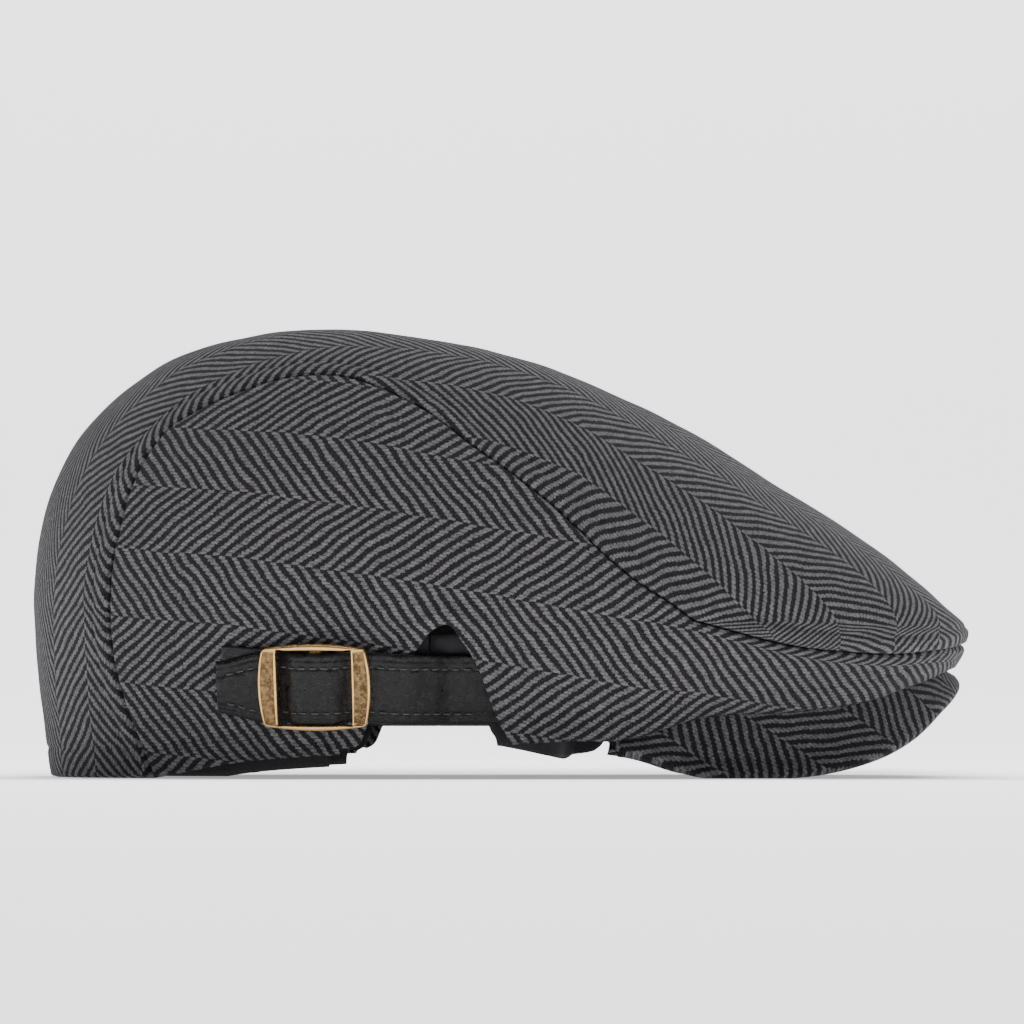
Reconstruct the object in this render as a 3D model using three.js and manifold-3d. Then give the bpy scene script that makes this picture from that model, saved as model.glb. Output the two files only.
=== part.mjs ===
// A herringbone flat cap with a stitched-down peak and two buckled side straps.
// Millimetres. +X is the front, -Y the wearer's right, +Z up. The origin is on the
// surface the cap rests on, under the middle of the cap.
import * as THREE from 'three';
import { mergeVertices } from 'three/addons/utils/BufferGeometryUtils.js';
import Module from 'manifold-3d';

const wasm = await Module();
wasm.setup();

// Crown
const CROWN_LENGTH = 277.4;
const CROWN_WIDTH = 178;
const CROWN_HEIGHT = 133.2;
const TOP_BEHIND_MIDDLE = 49.3;
const BACK_SHOULDER = 53;
const SIDE_SHOULDER = 45;
const FRONT_SHOULDER = 43;
const FRONT_SQUARENESS = 3.2;
const BACK_SQUARENESS = 2.4;
const HEM_TUCK = 7;
const TUCK_CURVE = 1.8;
const CLOTH = 2;

// Head opening, lining and sweatband
const HEAD_FRONT = 70;
const HEAD_SQUARENESS = 2.2;
const LINING = 1;
const LINING_SHORT = 3;
const LINING_EASE = 1;
const BAND = 1.1;
const BAND_EASE = 1;
const HEAD_FRONT_SHOULDER = 72;
const HEAD_FRONT_SQUARENESS = 8;
const HEAD_FRONT_REACH = 1.2;
const PEAK_TO_HEM_TURN = 10;
const BAND_HEIGHT = 35.5;
const BAND_DROP = 3.2;

// Peak
const PEAK_THICKNESS = 3.4;
const PEAK_TIP_HEIGHT = 29.5;
const PEAK_JOINT_HEIGHT = 43;
const PEAK_CORNER_HEIGHT = 10;
const PEAK_INSET = 6;
const PEAK_CROWNING = 0.09;
const PEAK_SHARE_UNDER_CROWN = 0.8;
const PEAK_ARCH_CURVE = 2.2;

// Adjuster slot, strap, tab and buckle
const SLOT_WIDTH = 44;
const SLOT_HEIGHT = 44;
const SLOT_MIDDLE = -19.8;
const CLOTH_SLOT = { front: 0, top: 0, limit: SLOT_HEIGHT };
const LINING_SLOT = { front: 4.8, top: 4, limit: SLOT_HEIGHT };
const BAND_SLOT = { front: 4.8, top: 4, limit: 15.2 };
const STRAP_WIDTH = 20.2;
const STRAP_THICKNESS = 1.6;
const STRAP_HEIGHT = 26.2;
const STRAP_LENGTH = 91.6;
const STRAP_SEWN = 10;
const STRAP_DROP = 2.2;
const STRAP_TIP = 0.74;
const TAB_WIDTH = 19.5;
const TAB_THICKNESS = 1;
const TAB_SHORT = 1.4;
const TAB_RAISE = 1.9;
const BUCKLE_LENGTH = 28.6;
const BUCKLE_HEIGHT = 21.9;
const BUCKLE_THICKNESS = 2.2;
const BUCKLE_MIDDLE = -51.4;
const WINDOW_LENGTH = 20.5;
const WINDOW_HEIGHT = 21;
const POST = 1.2;
const MIDDLE_BAR = 3.6;
const MIDDLE_BAR_THICKNESS = 1.6;
const BUCKLE_RISE = 0.25;
const BAR_BOW = 1.35;
const RAIL_BOW = 1.4;
const BUCKLE_CORNER = 0.8;

// Clearances
const SEAM_GAP = 0.3;
const LAYER_GAP = 0.3;

// How finely the curved faces are cut
const LINING_GRID = { rows: 11, columns: 40 };
const PEAK_GRID = { rows: 7, columns: 28 };
const BAND_FRONT_COLUMNS = 30;
const BAND_BACK_COLUMNS = 24;
const LOOP_STEPS = 6;
const BAR_STEPS = 6;
const STRAP_ROWS = 2;

const DEGREE = Math.PI / 180;
const SMALL_STEP = 1e-3;
const PEAK_STEP = 1e-2;
const MIDDLE_LEVEL = 1e-4;
const MERGE = 1e-4;
const LAST_LEVEL = 1.999;
const HALF_LENGTH = CROWN_LENGTH / 2;
const HALF_WIDTH = CROWN_WIDTH / 2;
const FRONT_SEAM_TURN = SEAM_GAP / HALF_WIDTH;

// Fall of the crown's middle line from the top to the shoulder. The swing is 0 at the top
// and 90 at the shoulder, its sine is the share of the reach, and the columns are shares
// of the height above the shoulder.
const MIDDLE_LINE = [
  { swing: 0, front: 1, back: 1 },
  { swing: 15, front: 0.9204, back: 0.9733 },
  { swing: 30, front: 0.7243, back: 0.9038 },
  { swing: 45, front: 0.4748, back: 0.7625 },
  { swing: 60, front: 0.2595, back: 0.5739 },
  { swing: 75, front: 0.0844, back: 0.3191 },
  { swing: 90, front: 0, back: 0 },
];

// How boxy the crown's cross-sections are, by share of the half length.
const BOXINESS = [
  { along: -1, power: 2.2 },
  { along: -0.6, power: 2.9 },
  { along: -0.3, power: 3.5 },
  { along: 0, power: 3.1 },
  { along: 0.39, power: 2.4 },
  { along: 1, power: 2.2 },
];

// Lower edge of the crown. The turn is in degrees from the front, the height is a share
// of the front shoulder's, and the tuck is a share of the hem's tuck.
const LOWER_EDGE = [
  { turn: 0, height: 0.753, tuck: 0.57 },
  { turn: 20, height: 0.72, tuck: 0.7 },
  { turn: 35, height: 0.62, tuck: 1.1 },
  { turn: 45, height: 0.51, tuck: 1.4 },
  { turn: 55, height: 0.44, tuck: 1.6 },
  { turn: 66, height: 0.4, tuck: 1.55 },
  { turn: 75, height: 0.255, tuck: 1.2 },
  { turn: 82, height: 0.244, tuck: 1.05 },
  { turn: 92, height: 0.21, tuck: 1 },
  { turn: 106, height: 0.165, tuck: 0.95 },
  { turn: 120, height: 0.115, tuck: 0.85 },
  { turn: 130, height: 0.035, tuck: 0.8 },
  { turn: 135, height: 0, tuck: 0.75 },
  { turn: 180, height: 0, tuck: 0.7 },
];

// Seam between the top panel and a side panel, from the back hem to the middle of the
// front. The level is 0 at the crown's middle, 1 at its shoulder and 2 at its lower edge.
const SEAM = [
  { along: 0, turn: 134, level: 2 },
  { along: 0.03, turn: 136.2, level: 1.742 },
  { along: 0.085, turn: 139.6, level: 1.305 },
  { along: 0.125, turn: 140.4, level: 0.987 },
  { along: 0.177, turn: 140.1, level: 0.872 },
  { along: 0.227, turn: 139.7, level: 0.755 },
  { along: 0.258, turn: 137.2, level: 0.686 },
  { along: 0.317, turn: 128.4, level: 0.598 },
  { along: 0.372, turn: 116.8, level: 0.557 },
  { along: 0.432, turn: 103.5, level: 0.589 },
  { along: 0.491, turn: 93.1, level: 0.67 },
  { along: 0.556, turn: 83.4, level: 0.762 },
  { along: 0.625, turn: 75, level: 0.893 },
  { along: 0.675, turn: 68.4, level: 0.994 },
  { along: 0.729, turn: 60, level: 1.215 },
  { along: 0.763, turn: 54.5, level: 1.308 },
  { along: 0.831, turn: 42.1, level: 1.42 },
  { along: 0.892, turn: 28.6, level: 1.41 },
  { along: 1, turn: 0, level: 1.345 },
];
const SEAM_STEPS = 44;
const BEND_STEP = 10;
const CORNER_STEP = 36;
const SEAM_BEND = BEND_STEP / SEAM_STEPS;
const SEAM_CORNER = CORNER_STEP / SEAM_STEPS;

// Outer edge of the peak, from its front to its rear corner. The inset is a share of the
// peak's, the height a share of the tip's.
const PEAK_EDGE = [
  { sweep: 0, inset: 0.25, height: 1 },
  { sweep: 0.25, inset: 0.35, height: 0.86 },
  { sweep: 0.4, inset: 0.45, height: 0.68 },
  { sweep: 0.5, inset: 0.55, height: 0.43 },
  { sweep: 0.6, inset: 0.65, height: 0.22 },
  { sweep: 0.7, inset: 0.8, height: 0.08 },
  { sweep: 0.8, inset: 0.95, height: 0.035 },
  { sweep: 0.88, inset: 1.1, height: 0.05 },
  { sweep: 0.95, inset: 1.25, height: 0.2 },
  { sweep: 1, inset: 1.35, height: 0.3 },
];
const PEAK_SWEEP = 76;
const PEAK_INNER_SWEEP = 60;

// A smooth curve through a table's column, held level past the ends.
function read(rows, column, at) {
  const key = Object.keys(rows[0])[0];
  const last = rows.length - 1;
  if (at <= rows[0][key]) return rows[0][column];
  if (at >= rows[last][key]) return rows[last][column];
  let i = 0;
  while (at > rows[i + 1][key]) i += 1;
  const slope = (a, b) => (rows[b][column] - rows[a][column]) / (rows[b][key] - rows[a][key]);
  const step = rows[i + 1][key] - rows[i][key];
  const here = slope(i, i + 1);
  const before = i > 0 ? slope(i - 1, i + 1) : here;
  const after = i + 1 < last ? slope(i, i + 2) : here;
  const t = (at - rows[i][key]) / step;
  const [from, to] = [rows[i][column], rows[i + 1][column]];
  return from * (1 + 2 * t) * (1 - t) ** 2 + to * t ** 2 * (3 - 2 * t)
    + step * (before * t * (1 - t) ** 2 + after * t ** 2 * (t - 1));
}

const mix = (a, b, t) => a + (b - a) * t;
const smooth = (t) => {
  const c = Math.min(1, Math.max(0, t));
  return c * c * (3 - 2 * c);
};

// Plans of the crown and of the head opening: both share the back half.
const CROWN = { front: HALF_LENGTH, frontSquareness: FRONT_SQUARENESS };
const HEAD = { front: HEAD_FRONT, frontSquareness: HEAD_SQUARENESS };

function planPoint(form, turn, out) {
  const [c, s] = [Math.cos(turn), Math.sin(turn)];
  const square = c > 0 ? form.frontSquareness : BACK_SQUARENESS;
  const reach = c > 0 ? form.front : HALF_LENGTH;
  const n = 2 + (square - 2) * out ** 2;
  const k = out * (Math.abs(c) ** n + Math.abs(s) ** n) ** (-1 / n);
  return [reach * k * c, HALF_WIDTH * k * s];
}

function planNormal(form, turn) {
  const [x, y] = planPoint(form, turn, 1);
  const n = x > 0 ? form.frontSquareness : BACK_SQUARENESS;
  const reach = x > 0 ? form.front : HALF_LENGTH;
  const nx = Math.sign(x) * Math.abs(x / reach) ** (n - 1) / reach;
  const ny = Math.sign(y) * Math.abs(y / HALF_WIDTH) ** (n - 1) / HALF_WIDTH;
  const size = Math.hypot(nx, ny);
  return [nx / size, ny / size];
}

function halfWidth(x) {
  const n = x > 0 ? FRONT_SQUARENESS : BACK_SQUARENESS;
  const share = Math.min(1, Math.abs(x) / HALF_LENGTH);
  return HALF_WIDTH * (1 - share ** n) ** (1 / n);
}

function shoulder(x) {
  const share = x / HALF_LENGTH;
  if (x > 0) return mix(SIDE_SHOULDER, FRONT_SHOULDER, share ** 2);
  return mix(SIDE_SHOULDER, BACK_SHOULDER, share ** 4);
}

function middleLine(x) {
  const top = -TOP_BEHIND_MIDDLE;
  const ahead = x > top;
  const reach = ahead ? HALF_LENGTH - top : HALF_LENGTH + top;
  const swing = Math.asin(Math.min(1, Math.abs(x - top) / reach)) / DEGREE;
  const base = ahead ? FRONT_SHOULDER : BACK_SHOULDER;
  return mix(base, CROWN_HEIGHT, read(MIDDLE_LINE, ahead ? 'front' : 'back', swing));
}

function domeHeight(x, y) {
  const across = Math.min(1, Math.abs(y) / Math.max(halfWidth(x), 1e-6));
  const power = read(BOXINESS, 'power', x / HALF_LENGTH);
  return mix(shoulder(x), middleLine(x), Math.sqrt(1 - across ** power));
}

const edgeHeight = (turn) => (
  FRONT_SHOULDER * Math.max(0, read(LOWER_EDGE, 'height', Math.abs(turn) / DEGREE)));
const edgeTuck = (turn) => HEM_TUCK * read(LOWER_EDGE, 'tuck', Math.abs(turn) / DEGREE);

// Height of the crown's lower edge beside a turn of the head. Ahead of the middle the
// crown reaches further, so there the same length is another turn.
const edgeBeside = (turn) => {
  const ahead = Math.cos(turn);
  return edgeHeight(ahead > 0 ? Math.acos(ahead * HEAD_FRONT / HALF_LENGTH) : turn);
};

// A point of the wall below the shoulder, at a height.
function wallPoint(form, turn, z) {
  const [x, y] = planPoint(form, turn, 1);
  const top = shoulder(x);
  const down = Math.max(0, (top - z) / (top - edgeHeight(turn)));
  const [nx, ny] = planNormal(form, turn);
  const inward = edgeTuck(turn) * down ** TUCK_CURVE;
  return new THREE.Vector3(x - nx * inward, y - ny * inward, z);
}

// The crown's outer face over a disc: the level is 0 at the middle, 1 at the shoulder
// and 2 at the lower edge.
function crownPoint(a, b) {
  const level = Math.hypot(a, b);
  const turn = Math.atan2(b, a);
  if (level > 1) {
    const top = shoulder(planPoint(CROWN, turn, 1)[0]);
    return wallPoint(CROWN, turn, mix(top, edgeHeight(turn), level - 1));
  }
  const [x, y] = planPoint(CROWN, turn, Math.sin(level * Math.PI / 2));
  return new THREE.Vector3(x, y, domeHeight(x, y));
}

// The face that the lining follows: the crown's at the back and sides, and ahead of them
// a front that comes down to the peak at the head opening.
const headEdge = (turn) => {
  const corner = PEAK_INNER_SWEEP * DEGREE;
  const onPeak = peakInnerHeight(Math.min(1, Math.abs(turn) / corner)) + LAYER_GAP;
  const onHem = edgeBeside(turn) + LINING_SHORT;
  return mix(onPeak, onHem, smooth((Math.abs(turn) - corner) / (PEAK_TO_HEM_TURN * DEGREE)));
};

const headShoulder = (turn) => {
  const ahead = smooth(Math.max(0, Math.cos(turn)));
  return mix(shoulder(planPoint(HEAD, turn, 1)[0]), HEAD_FRONT_SHOULDER, ahead);
};

function headPoint(a, b) {
  const level = Math.hypot(a, b);
  const turn = Math.atan2(b, a);
  if (level > 1) {
    return wallPoint(HEAD, turn, mix(headShoulder(turn), headEdge(turn), level - 1));
  }
  const out = Math.sin(level * Math.PI / 2);
  const [x, y] = planPoint(HEAD, turn, out);
  const ahead = smooth(Math.cos(turn) * HEAD_FRONT_REACH);
  const fall = 1 - ahead * (1 - Math.sqrt(1 - out ** HEAD_FRONT_SQUARENESS));
  const base = mix(shoulder(x), headShoulder(turn), ahead);
  return new THREE.Vector3(x, y, mix(base, domeHeight(x, y), fall));
}

function slopes(surface, a, b) {
  const d = SMALL_STEP;
  const da = surface(a + d, b).sub(surface(a - d, b)).divideScalar(2 * d);
  const db = surface(a, b + d).sub(surface(a, b - d)).divideScalar(2 * d);
  return [da, db];
}

function offset(surface, a, b, depth) {
  const [da, db] = slopes(surface, a, b);
  const normal = da.cross(db).normalize();
  return surface(a, b).addScaledVector(normal, -depth);
}

// Closed solids from grids of points
function solidFromTriangles(points, triangles) {
  const geometry = new THREE.BufferGeometry();
  const numbers = points.flatMap((p) => p.toArray());
  geometry.setAttribute('position', new THREE.Float32BufferAttribute(numbers, 3));
  geometry.setIndex(triangles.flat());
  const merged = mergeVertices(geometry, MERGE);
  const index = merged.index.array;
  const kept = [];
  for (let i = 0; i < index.length; i += 3) {
    const [a, b, c] = [index[i], index[i + 1], index[i + 2]];
    if (a !== b && b !== c && c !== a) kept.push(a, b, c);
  }
  merged.setIndex(kept);
  if (signedVolume(merged) < 0) merged.setIndex(kept.reverse());
  return merged;
}

function signedVolume(geometry) {
  const position = geometry.attributes.position;
  const index = geometry.index.array;
  const corner = (i) => new THREE.Vector3().fromBufferAttribute(position, index[i]);
  let volume = 0;
  for (let i = 0; i < index.length; i += 3) {
    volume += corner(i).dot(corner(i + 1).cross(corner(i + 2))) / 6;
  }
  return volume;
}

// A sheet with an outer and an inner face. The columns of a cap close on themselves, and
// its first row is one point.
function sheetSolid(outer, inner, cap = false) {
  const rows = outer.length;
  const columns = outer[0].length;
  const points = [...outer.flat(), ...inner.flat()];
  const out = (i, j) => i * columns + (j % columns);
  const inn = (i, j) => rows * columns + out(i, j);
  const triangles = [];
  const quad = (a, b, c, d) => triangles.push([a, b, c], [a, c, d]);
  const lastColumn = cap ? columns : columns - 1;
  for (let j = 0; j < lastColumn; j += 1) {
    for (let i = 0; i < rows - 1; i += 1) {
      quad(out(i, j), out(i, j + 1), out(i + 1, j + 1), out(i + 1, j));
      quad(inn(i, j), inn(i + 1, j), inn(i + 1, j + 1), inn(i, j + 1));
    }
    quad(out(rows - 1, j + 1), inn(rows - 1, j + 1), inn(rows - 1, j), out(rows - 1, j));
    if (!cap) quad(out(0, j), inn(0, j), inn(0, j + 1), out(0, j + 1));
  }
  if (cap) return solidFromTriangles(points, triangles);
  for (let i = 0; i < rows - 1; i += 1) {
    quad(out(i + 1, 0), inn(i + 1, 0), inn(i, 0), out(i, 0));
    quad(out(i, lastColumn), inn(i, lastColumn), inn(i + 1, lastColumn), out(i + 1, lastColumn));
  }
  return solidFromTriangles(points, triangles);
}

function toManifold(geometry) {
  const bare = new THREE.BufferGeometry();
  bare.setAttribute('position', geometry.attributes.position);
  bare.setIndex(geometry.index);
  const merged = mergeVertices(bare, MERGE);
  const vertProperties = new Float32Array(merged.attributes.position.array);
  const triVerts = new Uint32Array(merged.index.array);
  return new wasm.Manifold(new wasm.Mesh({ numProp: 3, vertProperties, triVerts }));
}

function fromManifold(solid) {
  const mesh = solid.getMesh();
  const geometry = new THREE.BufferGeometry();
  const numbers = new Float32Array(mesh.vertProperties);
  geometry.setAttribute('position', new THREE.BufferAttribute(numbers, 3));
  geometry.setIndex([...mesh.triVerts]);
  return geometry;
}

const cutAway = (geometry, ...tools) => {
  const left = tools.reduce((solid, tool) => solid.subtract(toManifold(tool)), toManifold(geometry));
  return fromManifold(left);
};

const grid = (rows, columns, point) => Array.from({ length: rows + 1 }, (_, i) => (
  Array.from({ length: columns + 1 }, (__, j) => point(i / rows, j / columns))));

// Seam curve in the disc, moved off the seam by half its gap towards one panel.
function seamDisc(along, side, towards) {
  const at = (t) => {
    const turn = side * read(SEAM, 'turn', t) * DEGREE;
    const level = read(SEAM, 'level', t);
    return new THREE.Vector2(level * Math.cos(turn), level * Math.sin(turn));
  };
  const here = at(along);
  const d = SMALL_STEP;
  const run = at(Math.min(1, along + d)).sub(at(Math.max(0, along - d)));
  const [da, db] = slopes(crownPoint, here.x, here.y);
  const tangent = da.clone().multiplyScalar(run.x).addScaledVector(db, run.y).normalize();
  const normal = da.clone().cross(db).normalize();
  const step = normal.cross(tangent).multiplyScalar(-side * towards * SEAM_GAP / 2);
  const [aa, ab, bb] = [da.dot(da), da.dot(db), db.dot(db)];
  const [ga, gb] = [step.dot(da), step.dot(db)];
  const det = aa * bb - ab * ab;
  return here.add(new THREE.Vector2((ga * bb - gb * ab) / det, (gb * aa - ga * ab) / det));
}

// A patch of the disc between four curves. Each curve takes a share from 0 to 1.
function patch(back, front, near, far) {
  const [c00, c01, c10, c11] = [back(0), back(1), front(0), front(1)];
  return (u, v) => {
    const sum = new THREE.Vector2();
    sum.addScaledVector(back(v), 1 - u).addScaledVector(front(v), u);
    sum.addScaledVector(near(u), 1 - v).addScaledVector(far(u), v);
    sum.addScaledVector(c00, -(1 - u) * (1 - v)).addScaledVector(c01, -(1 - u) * v);
    return sum.addScaledVector(c10, -u * (1 - v)).addScaledVector(c11, -u * v);
  };
}

const polar = (turn, level) => new THREE.Vector2(level * Math.cos(turn), level * Math.sin(turn));

// The wall's inner face, cut off level at the lower edge.
function clothInner(a, b) {
  const inner = offset(crownPoint, a, b, CLOTH);
  if (Math.hypot(a, b) > LAST_LEVEL) inner.z = crownPoint(a, b).z;
  return inner;
}

function clothPanel(rows, columns, disc) {
  const outer = grid(rows, columns, (u, v) => {
    const d = disc(u, v);
    return crownPoint(d.x, d.y);
  });
  const inner = grid(rows, columns, (u, v) => {
    const d = disc(u, v);
    return clothInner(d.x, d.y);
  });
  return sheetSolid(outer, inner);
}

function crownTopPanel() {
  const hemEnd = seamDisc(0, 1, 1);
  const hemSpread = Math.PI - Math.atan2(hemEnd.y, hemEnd.x);
  const back = (v) => polar(Math.PI - (2 * v - 1) * hemSpread, 2);
  const side = (s) => (u) => {
    const at = seamDisc(u * SEAM_CORNER, s, 1);
    return u === 0 ? polar(s * (Math.PI - hemSpread), 2) : at;
  };
  const front = (v) => {
    const off = Math.abs(2 * v - 1);
    return seamDisc(mix(1, SEAM_CORNER, off), v < 0.5 ? -1 : 1, 1);
  };
  const across = 2 * (SEAM_STEPS - CORNER_STEP);
  return clothPanel(CORNER_STEP, across, patch(back, front, side(-1), side(1)));
}

function sidePanel(side) {
  const inPolar = (d) => new THREE.Vector2(Math.abs(Math.atan2(d.y, d.x)), d.length());
  const seam = (along) => inPolar(seamDisc(along, side, -1));
  const endTurn = FRONT_SEAM_TURN;
  const hemTurn = seam(0).x;
  const back = (v) => (v === 0 ? new THREE.Vector2(hemTurn, 2) : seam(v * SEAM_BEND));
  const top = (u) => {
    const at = seam(mix(SEAM_BEND, 1, u));
    return u === 1 ? new THREE.Vector2(endTurn, at.y) : at;
  };
  const front = (v) => new THREE.Vector2(endTurn, mix(2, top(1).y, v));
  const hem = (u) => new THREE.Vector2(mix(hemTurn, endTurn, u), 2);
  const inTurns = patch(back, front, hem, top);
  const disc = (u, v) => {
    const at = inTurns(u, v);
    return polar(side * at.x, at.y);
  };
  const shape = clothPanel(SEAM_STEPS - BEND_STEP, BEND_STEP, disc);
  return cutAway(shape, slotTool(side, CLOTH_SLOT));
}

// Outline of the adjuster slot, as shares of its width and height, from its front foot
// over the arch to its rear foot.
const SLOT_OUTLINE = [
  { along: 0.5, up: -0.2 },
  { along: 0.5, up: 0.22 },
  { along: 0.45, up: 0.35 },
  { along: 0.4, up: 0.475 },
  { along: 0.33, up: 0.67 },
  { along: 0.27, up: 0.79 },
  { along: 0.2, up: 0.895 },
  { along: 0.15, up: 0.965 },
  { along: 0.1, up: 0.988 },
  { along: 0.03, up: 0.958 },
  { along: -0.02, up: 0.912 },
  { along: -0.07, up: 0.84 },
  { along: -0.25, up: 0.62 },
  { along: -0.36, up: 0.43 },
  { along: -0.4, up: 0.34 },
  { along: -0.445, up: 0.234 },
  { along: -0.5, up: 0.19 },
  { along: -0.58, up: 0.16 },
  { along: -0.58, up: -0.2 },
];

// Tool that cuts one layer's slot. It is smaller in the black layers, and the sweatband's
// ends under the strap.
function slotTool(side, smaller) {
  const width = SLOT_WIDTH - smaller.front;
  const height = SLOT_HEIGHT - smaller.top;
  const middle = SLOT_MIDDLE - smaller.front / 2;
  const outline = new THREE.Shape(SLOT_OUTLINE.map((row) => (
    new THREE.Vector2(middle + row.along * width, Math.min(row.up * height, smaller.limit)))));
  const depth = HALF_WIDTH;
  const tool = new THREE.ExtrudeGeometry(outline, { depth, bevelEnabled: false });
  tool.rotateX(Math.PI / 2);
  tool.translate(0, side * HALF_WIDTH + depth / 2, 0);
  tool.deleteAttribute('normal');
  tool.deleteAttribute('uv');
  return mergeVertices(tool, MERGE);
}

// Lining
function liningSolid() {
  const { rows, columns } = LINING_GRID;
  const face = (depth) => Array.from({ length: rows + 1 }, (_, i) => (
    Array.from({ length: columns }, (__, j) => {
      if (i === 0) return offset(headPoint, 0, MIDDLE_LEVEL, depth);
      const at = polar((j + 0.5) / columns * 2 * Math.PI, 2 * i / rows);
      const point = offset(headPoint, at.x, at.y, depth);
      if (i === rows) point.z = headPoint(at.x, at.y).z;
      return point;
    })));
  const outer = face(CLOTH + LINING_EASE);
  const inner = face(CLOTH + LINING_EASE + LINING);
  return cutAway(sheetSolid(outer, inner, true), slotTool(-1, LINING_SLOT), slotTool(1, LINING_SLOT));
}

// Sweatband: two strips that meet over the slots. They stand inside the lining, further in
// at the height of the straps' sewn ends.
const SLOT_TURN = Math.acos(SLOT_MIDDLE / HALF_LENGTH);
const BAND_SEAM_TURN = SEAM_GAP / HALF_WIDTH;
const BAND_START = SLOT_TURN + BAND_SEAM_TURN;
const BAND_DEPTH = [
  { up: 0, strap: 0 },
  { up: 0.27, strap: 1 },
  { up: 0.65, strap: 1.1 },
  { up: 1, strap: 1 },
];

function sweatband(from, to, columns) {
  const linerDepth = CLOTH + LINING_EASE + LINING + BAND_EASE;
  const strapDepth = STRAP_THICKNESS + LAYER_GAP + BAND_EASE / 2;
  const face = (extra) => BAND_DEPTH.map(({ up, strap }) => (
    Array.from({ length: columns + 1 }, (_, j) => {
      const turn = mix(from, to, j / columns);
      const wall = wallPoint(HEAD, turn, bandFoot(turn) + up * BAND_HEIGHT);
      const [nx, ny] = planNormal(HEAD, turn);
      const depth = linerDepth + strap * strapDepth + extra;
      return new THREE.Vector3(wall.x - nx * depth, wall.y - ny * depth, wall.z);
    })));
  const strip = sheetSolid(face(0), face(BAND));
  return cutAway(strip, slotTool(-1, BAND_SLOT), slotTool(1, BAND_SLOT));
}

function bandFoot(turn) {
  const size = Math.abs(turn > Math.PI ? 2 * Math.PI - turn : turn);
  const corner = PEAK_INNER_SWEEP * DEGREE;
  const onPeak = peakInnerHeight(Math.min(1, size / corner)) - PEAK_THICKNESS;
  const onHem = Math.max(edgeBeside(size) - BAND_DROP, LAYER_GAP * 2);
  return mix(onPeak, onHem, smooth((size - corner) / (PEAK_TO_HEM_TURN * DEGREE)));
}

// Peak
function peakInnerHeight(sweep) {
  const fall = 1 - Math.sqrt(Math.max(0, 1 - sweep ** PEAK_ARCH_CURVE));
  return mix(PEAK_JOINT_HEIGHT, PEAK_CORNER_HEIGHT, fall);
}

function peakRows(w) {
  const sweep = Math.abs(w);
  const turn = w * PEAK_SWEEP * DEGREE;
  const innerTurn = w * PEAK_INNER_SWEEP * DEGREE;
  const liningFoot = CLOTH + LINING_EASE + LINING;
  const [ix, iy] = planPoint(HEAD, innerTurn, 1);
  const [inx, iny] = planNormal(HEAD, innerTurn);
  const height = peakInnerHeight(sweep);
  const inner = new THREE.Vector3(ix - inx * liningFoot, iy - iny * liningFoot, height);
  const [nx, ny] = planNormal(CROWN, turn);
  const fold = wallPoint(CROWN, turn, edgeHeight(turn));
  fold.add(new THREE.Vector3(-nx * CLOTH, -ny * CLOTH, -LAYER_GAP));
  const [x, y] = planPoint(CROWN, turn, 1);
  const inset = PEAK_INSET * read(PEAK_EDGE, 'inset', sweep);
  const tip = PEAK_TIP_HEIGHT * read(PEAK_EDGE, 'height', sweep);
  const edge = new THREE.Vector3(x - nx * inset, y - ny * inset, tip);
  return { inner, fold, edge };
}

function peakTop(w, r) {
  const { inner, fold, edge } = peakRows(w);
  const share = PEAK_SHARE_UNDER_CROWN;
  if (r <= share) {
    const t = r / share;
    const lift = PEAK_CROWNING * inner.distanceTo(fold) * Math.sin(Math.PI * t);
    return inner.clone().lerp(fold, t).add(new THREE.Vector3(0, 0, lift));
  }
  return fold.clone().lerp(edge, (r - share) / (1 - share));
}

function peak() {
  const { rows, columns } = PEAK_GRID;
  const top = grid(rows, columns, (r, w) => peakTop(2 * w - 1, r));
  const bottom = grid(rows, columns, (r, w) => {
    const d = PEAK_STEP;
    const at = 2 * w - 1;
    const along = peakTop(Math.min(1, at + d), r).sub(peakTop(Math.max(-1, at - d), r));
    const across = peakTop(at, Math.min(1, r + d)).sub(peakTop(at, Math.max(0, r - d)));
    const normal = across.cross(along).normalize();
    if (normal.z < 0) normal.negate();
    const point = peakTop(at, r).addScaledVector(normal, -PEAK_THICKNESS);
    point.z = Math.max(0, point.z);
    return point;
  });
  return sheetSolid(top, bottom);
}

// A point on or off the side wall, from its place along and up, and its lift outwards.
// It is straight from bottom to top, so that a metal bar stays straight.
function onWall(side, x, up, lift) {
  const middle = STRAP_HEIGHT;
  let [low, high] = [0, Math.PI];
  for (let i = 0; i < 40; i += 1) {
    const turn = (low + high) / 2;
    if (wallPoint(HEAD, turn, middle).x > x) low = turn;
    else high = turn;
  }
  const turn = side * (low + high) / 2;
  const d = SMALL_STEP;
  const rise = wallPoint(HEAD, turn, middle + d).sub(wallPoint(HEAD, turn, middle - d)).normalize();
  const along = wallPoint(HEAD, turn + d, middle).sub(wallPoint(HEAD, turn - d, middle));
  const normal = along.cross(rise).normalize();
  return wallPoint(HEAD, turn, middle).addScaledVector(rise, up).addScaledVector(normal, lift);
}

// Levels off the cloth at the buckle
const TAB_LIFT = LAYER_GAP;
const STRAP_LIFT = TAB_LIFT + TAB_THICKNESS + LAYER_GAP;
const FRAME_LIFT = STRAP_LIFT + STRAP_THICKNESS + LAYER_GAP;
const MIDDLE_BAR_LIFT = TAB_LIFT + TAB_THICKNESS + LAYER_GAP;
const LOOP_LIFT = MIDDLE_BAR_LIFT + MIDDLE_BAR_THICKNESS + LAYER_GAP;
const HUMP_LIFT = LOOP_LIFT + TAB_THICKNESS + LAYER_GAP;
const LOOP_RADIUS = (LOOP_LIFT + TAB_THICKNESS - TAB_LIFT) / 2;
const INSIDE_LIFT = -(CLOTH + LINING_EASE + LINING + BAND_EASE + STRAP_THICKNESS);

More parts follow.
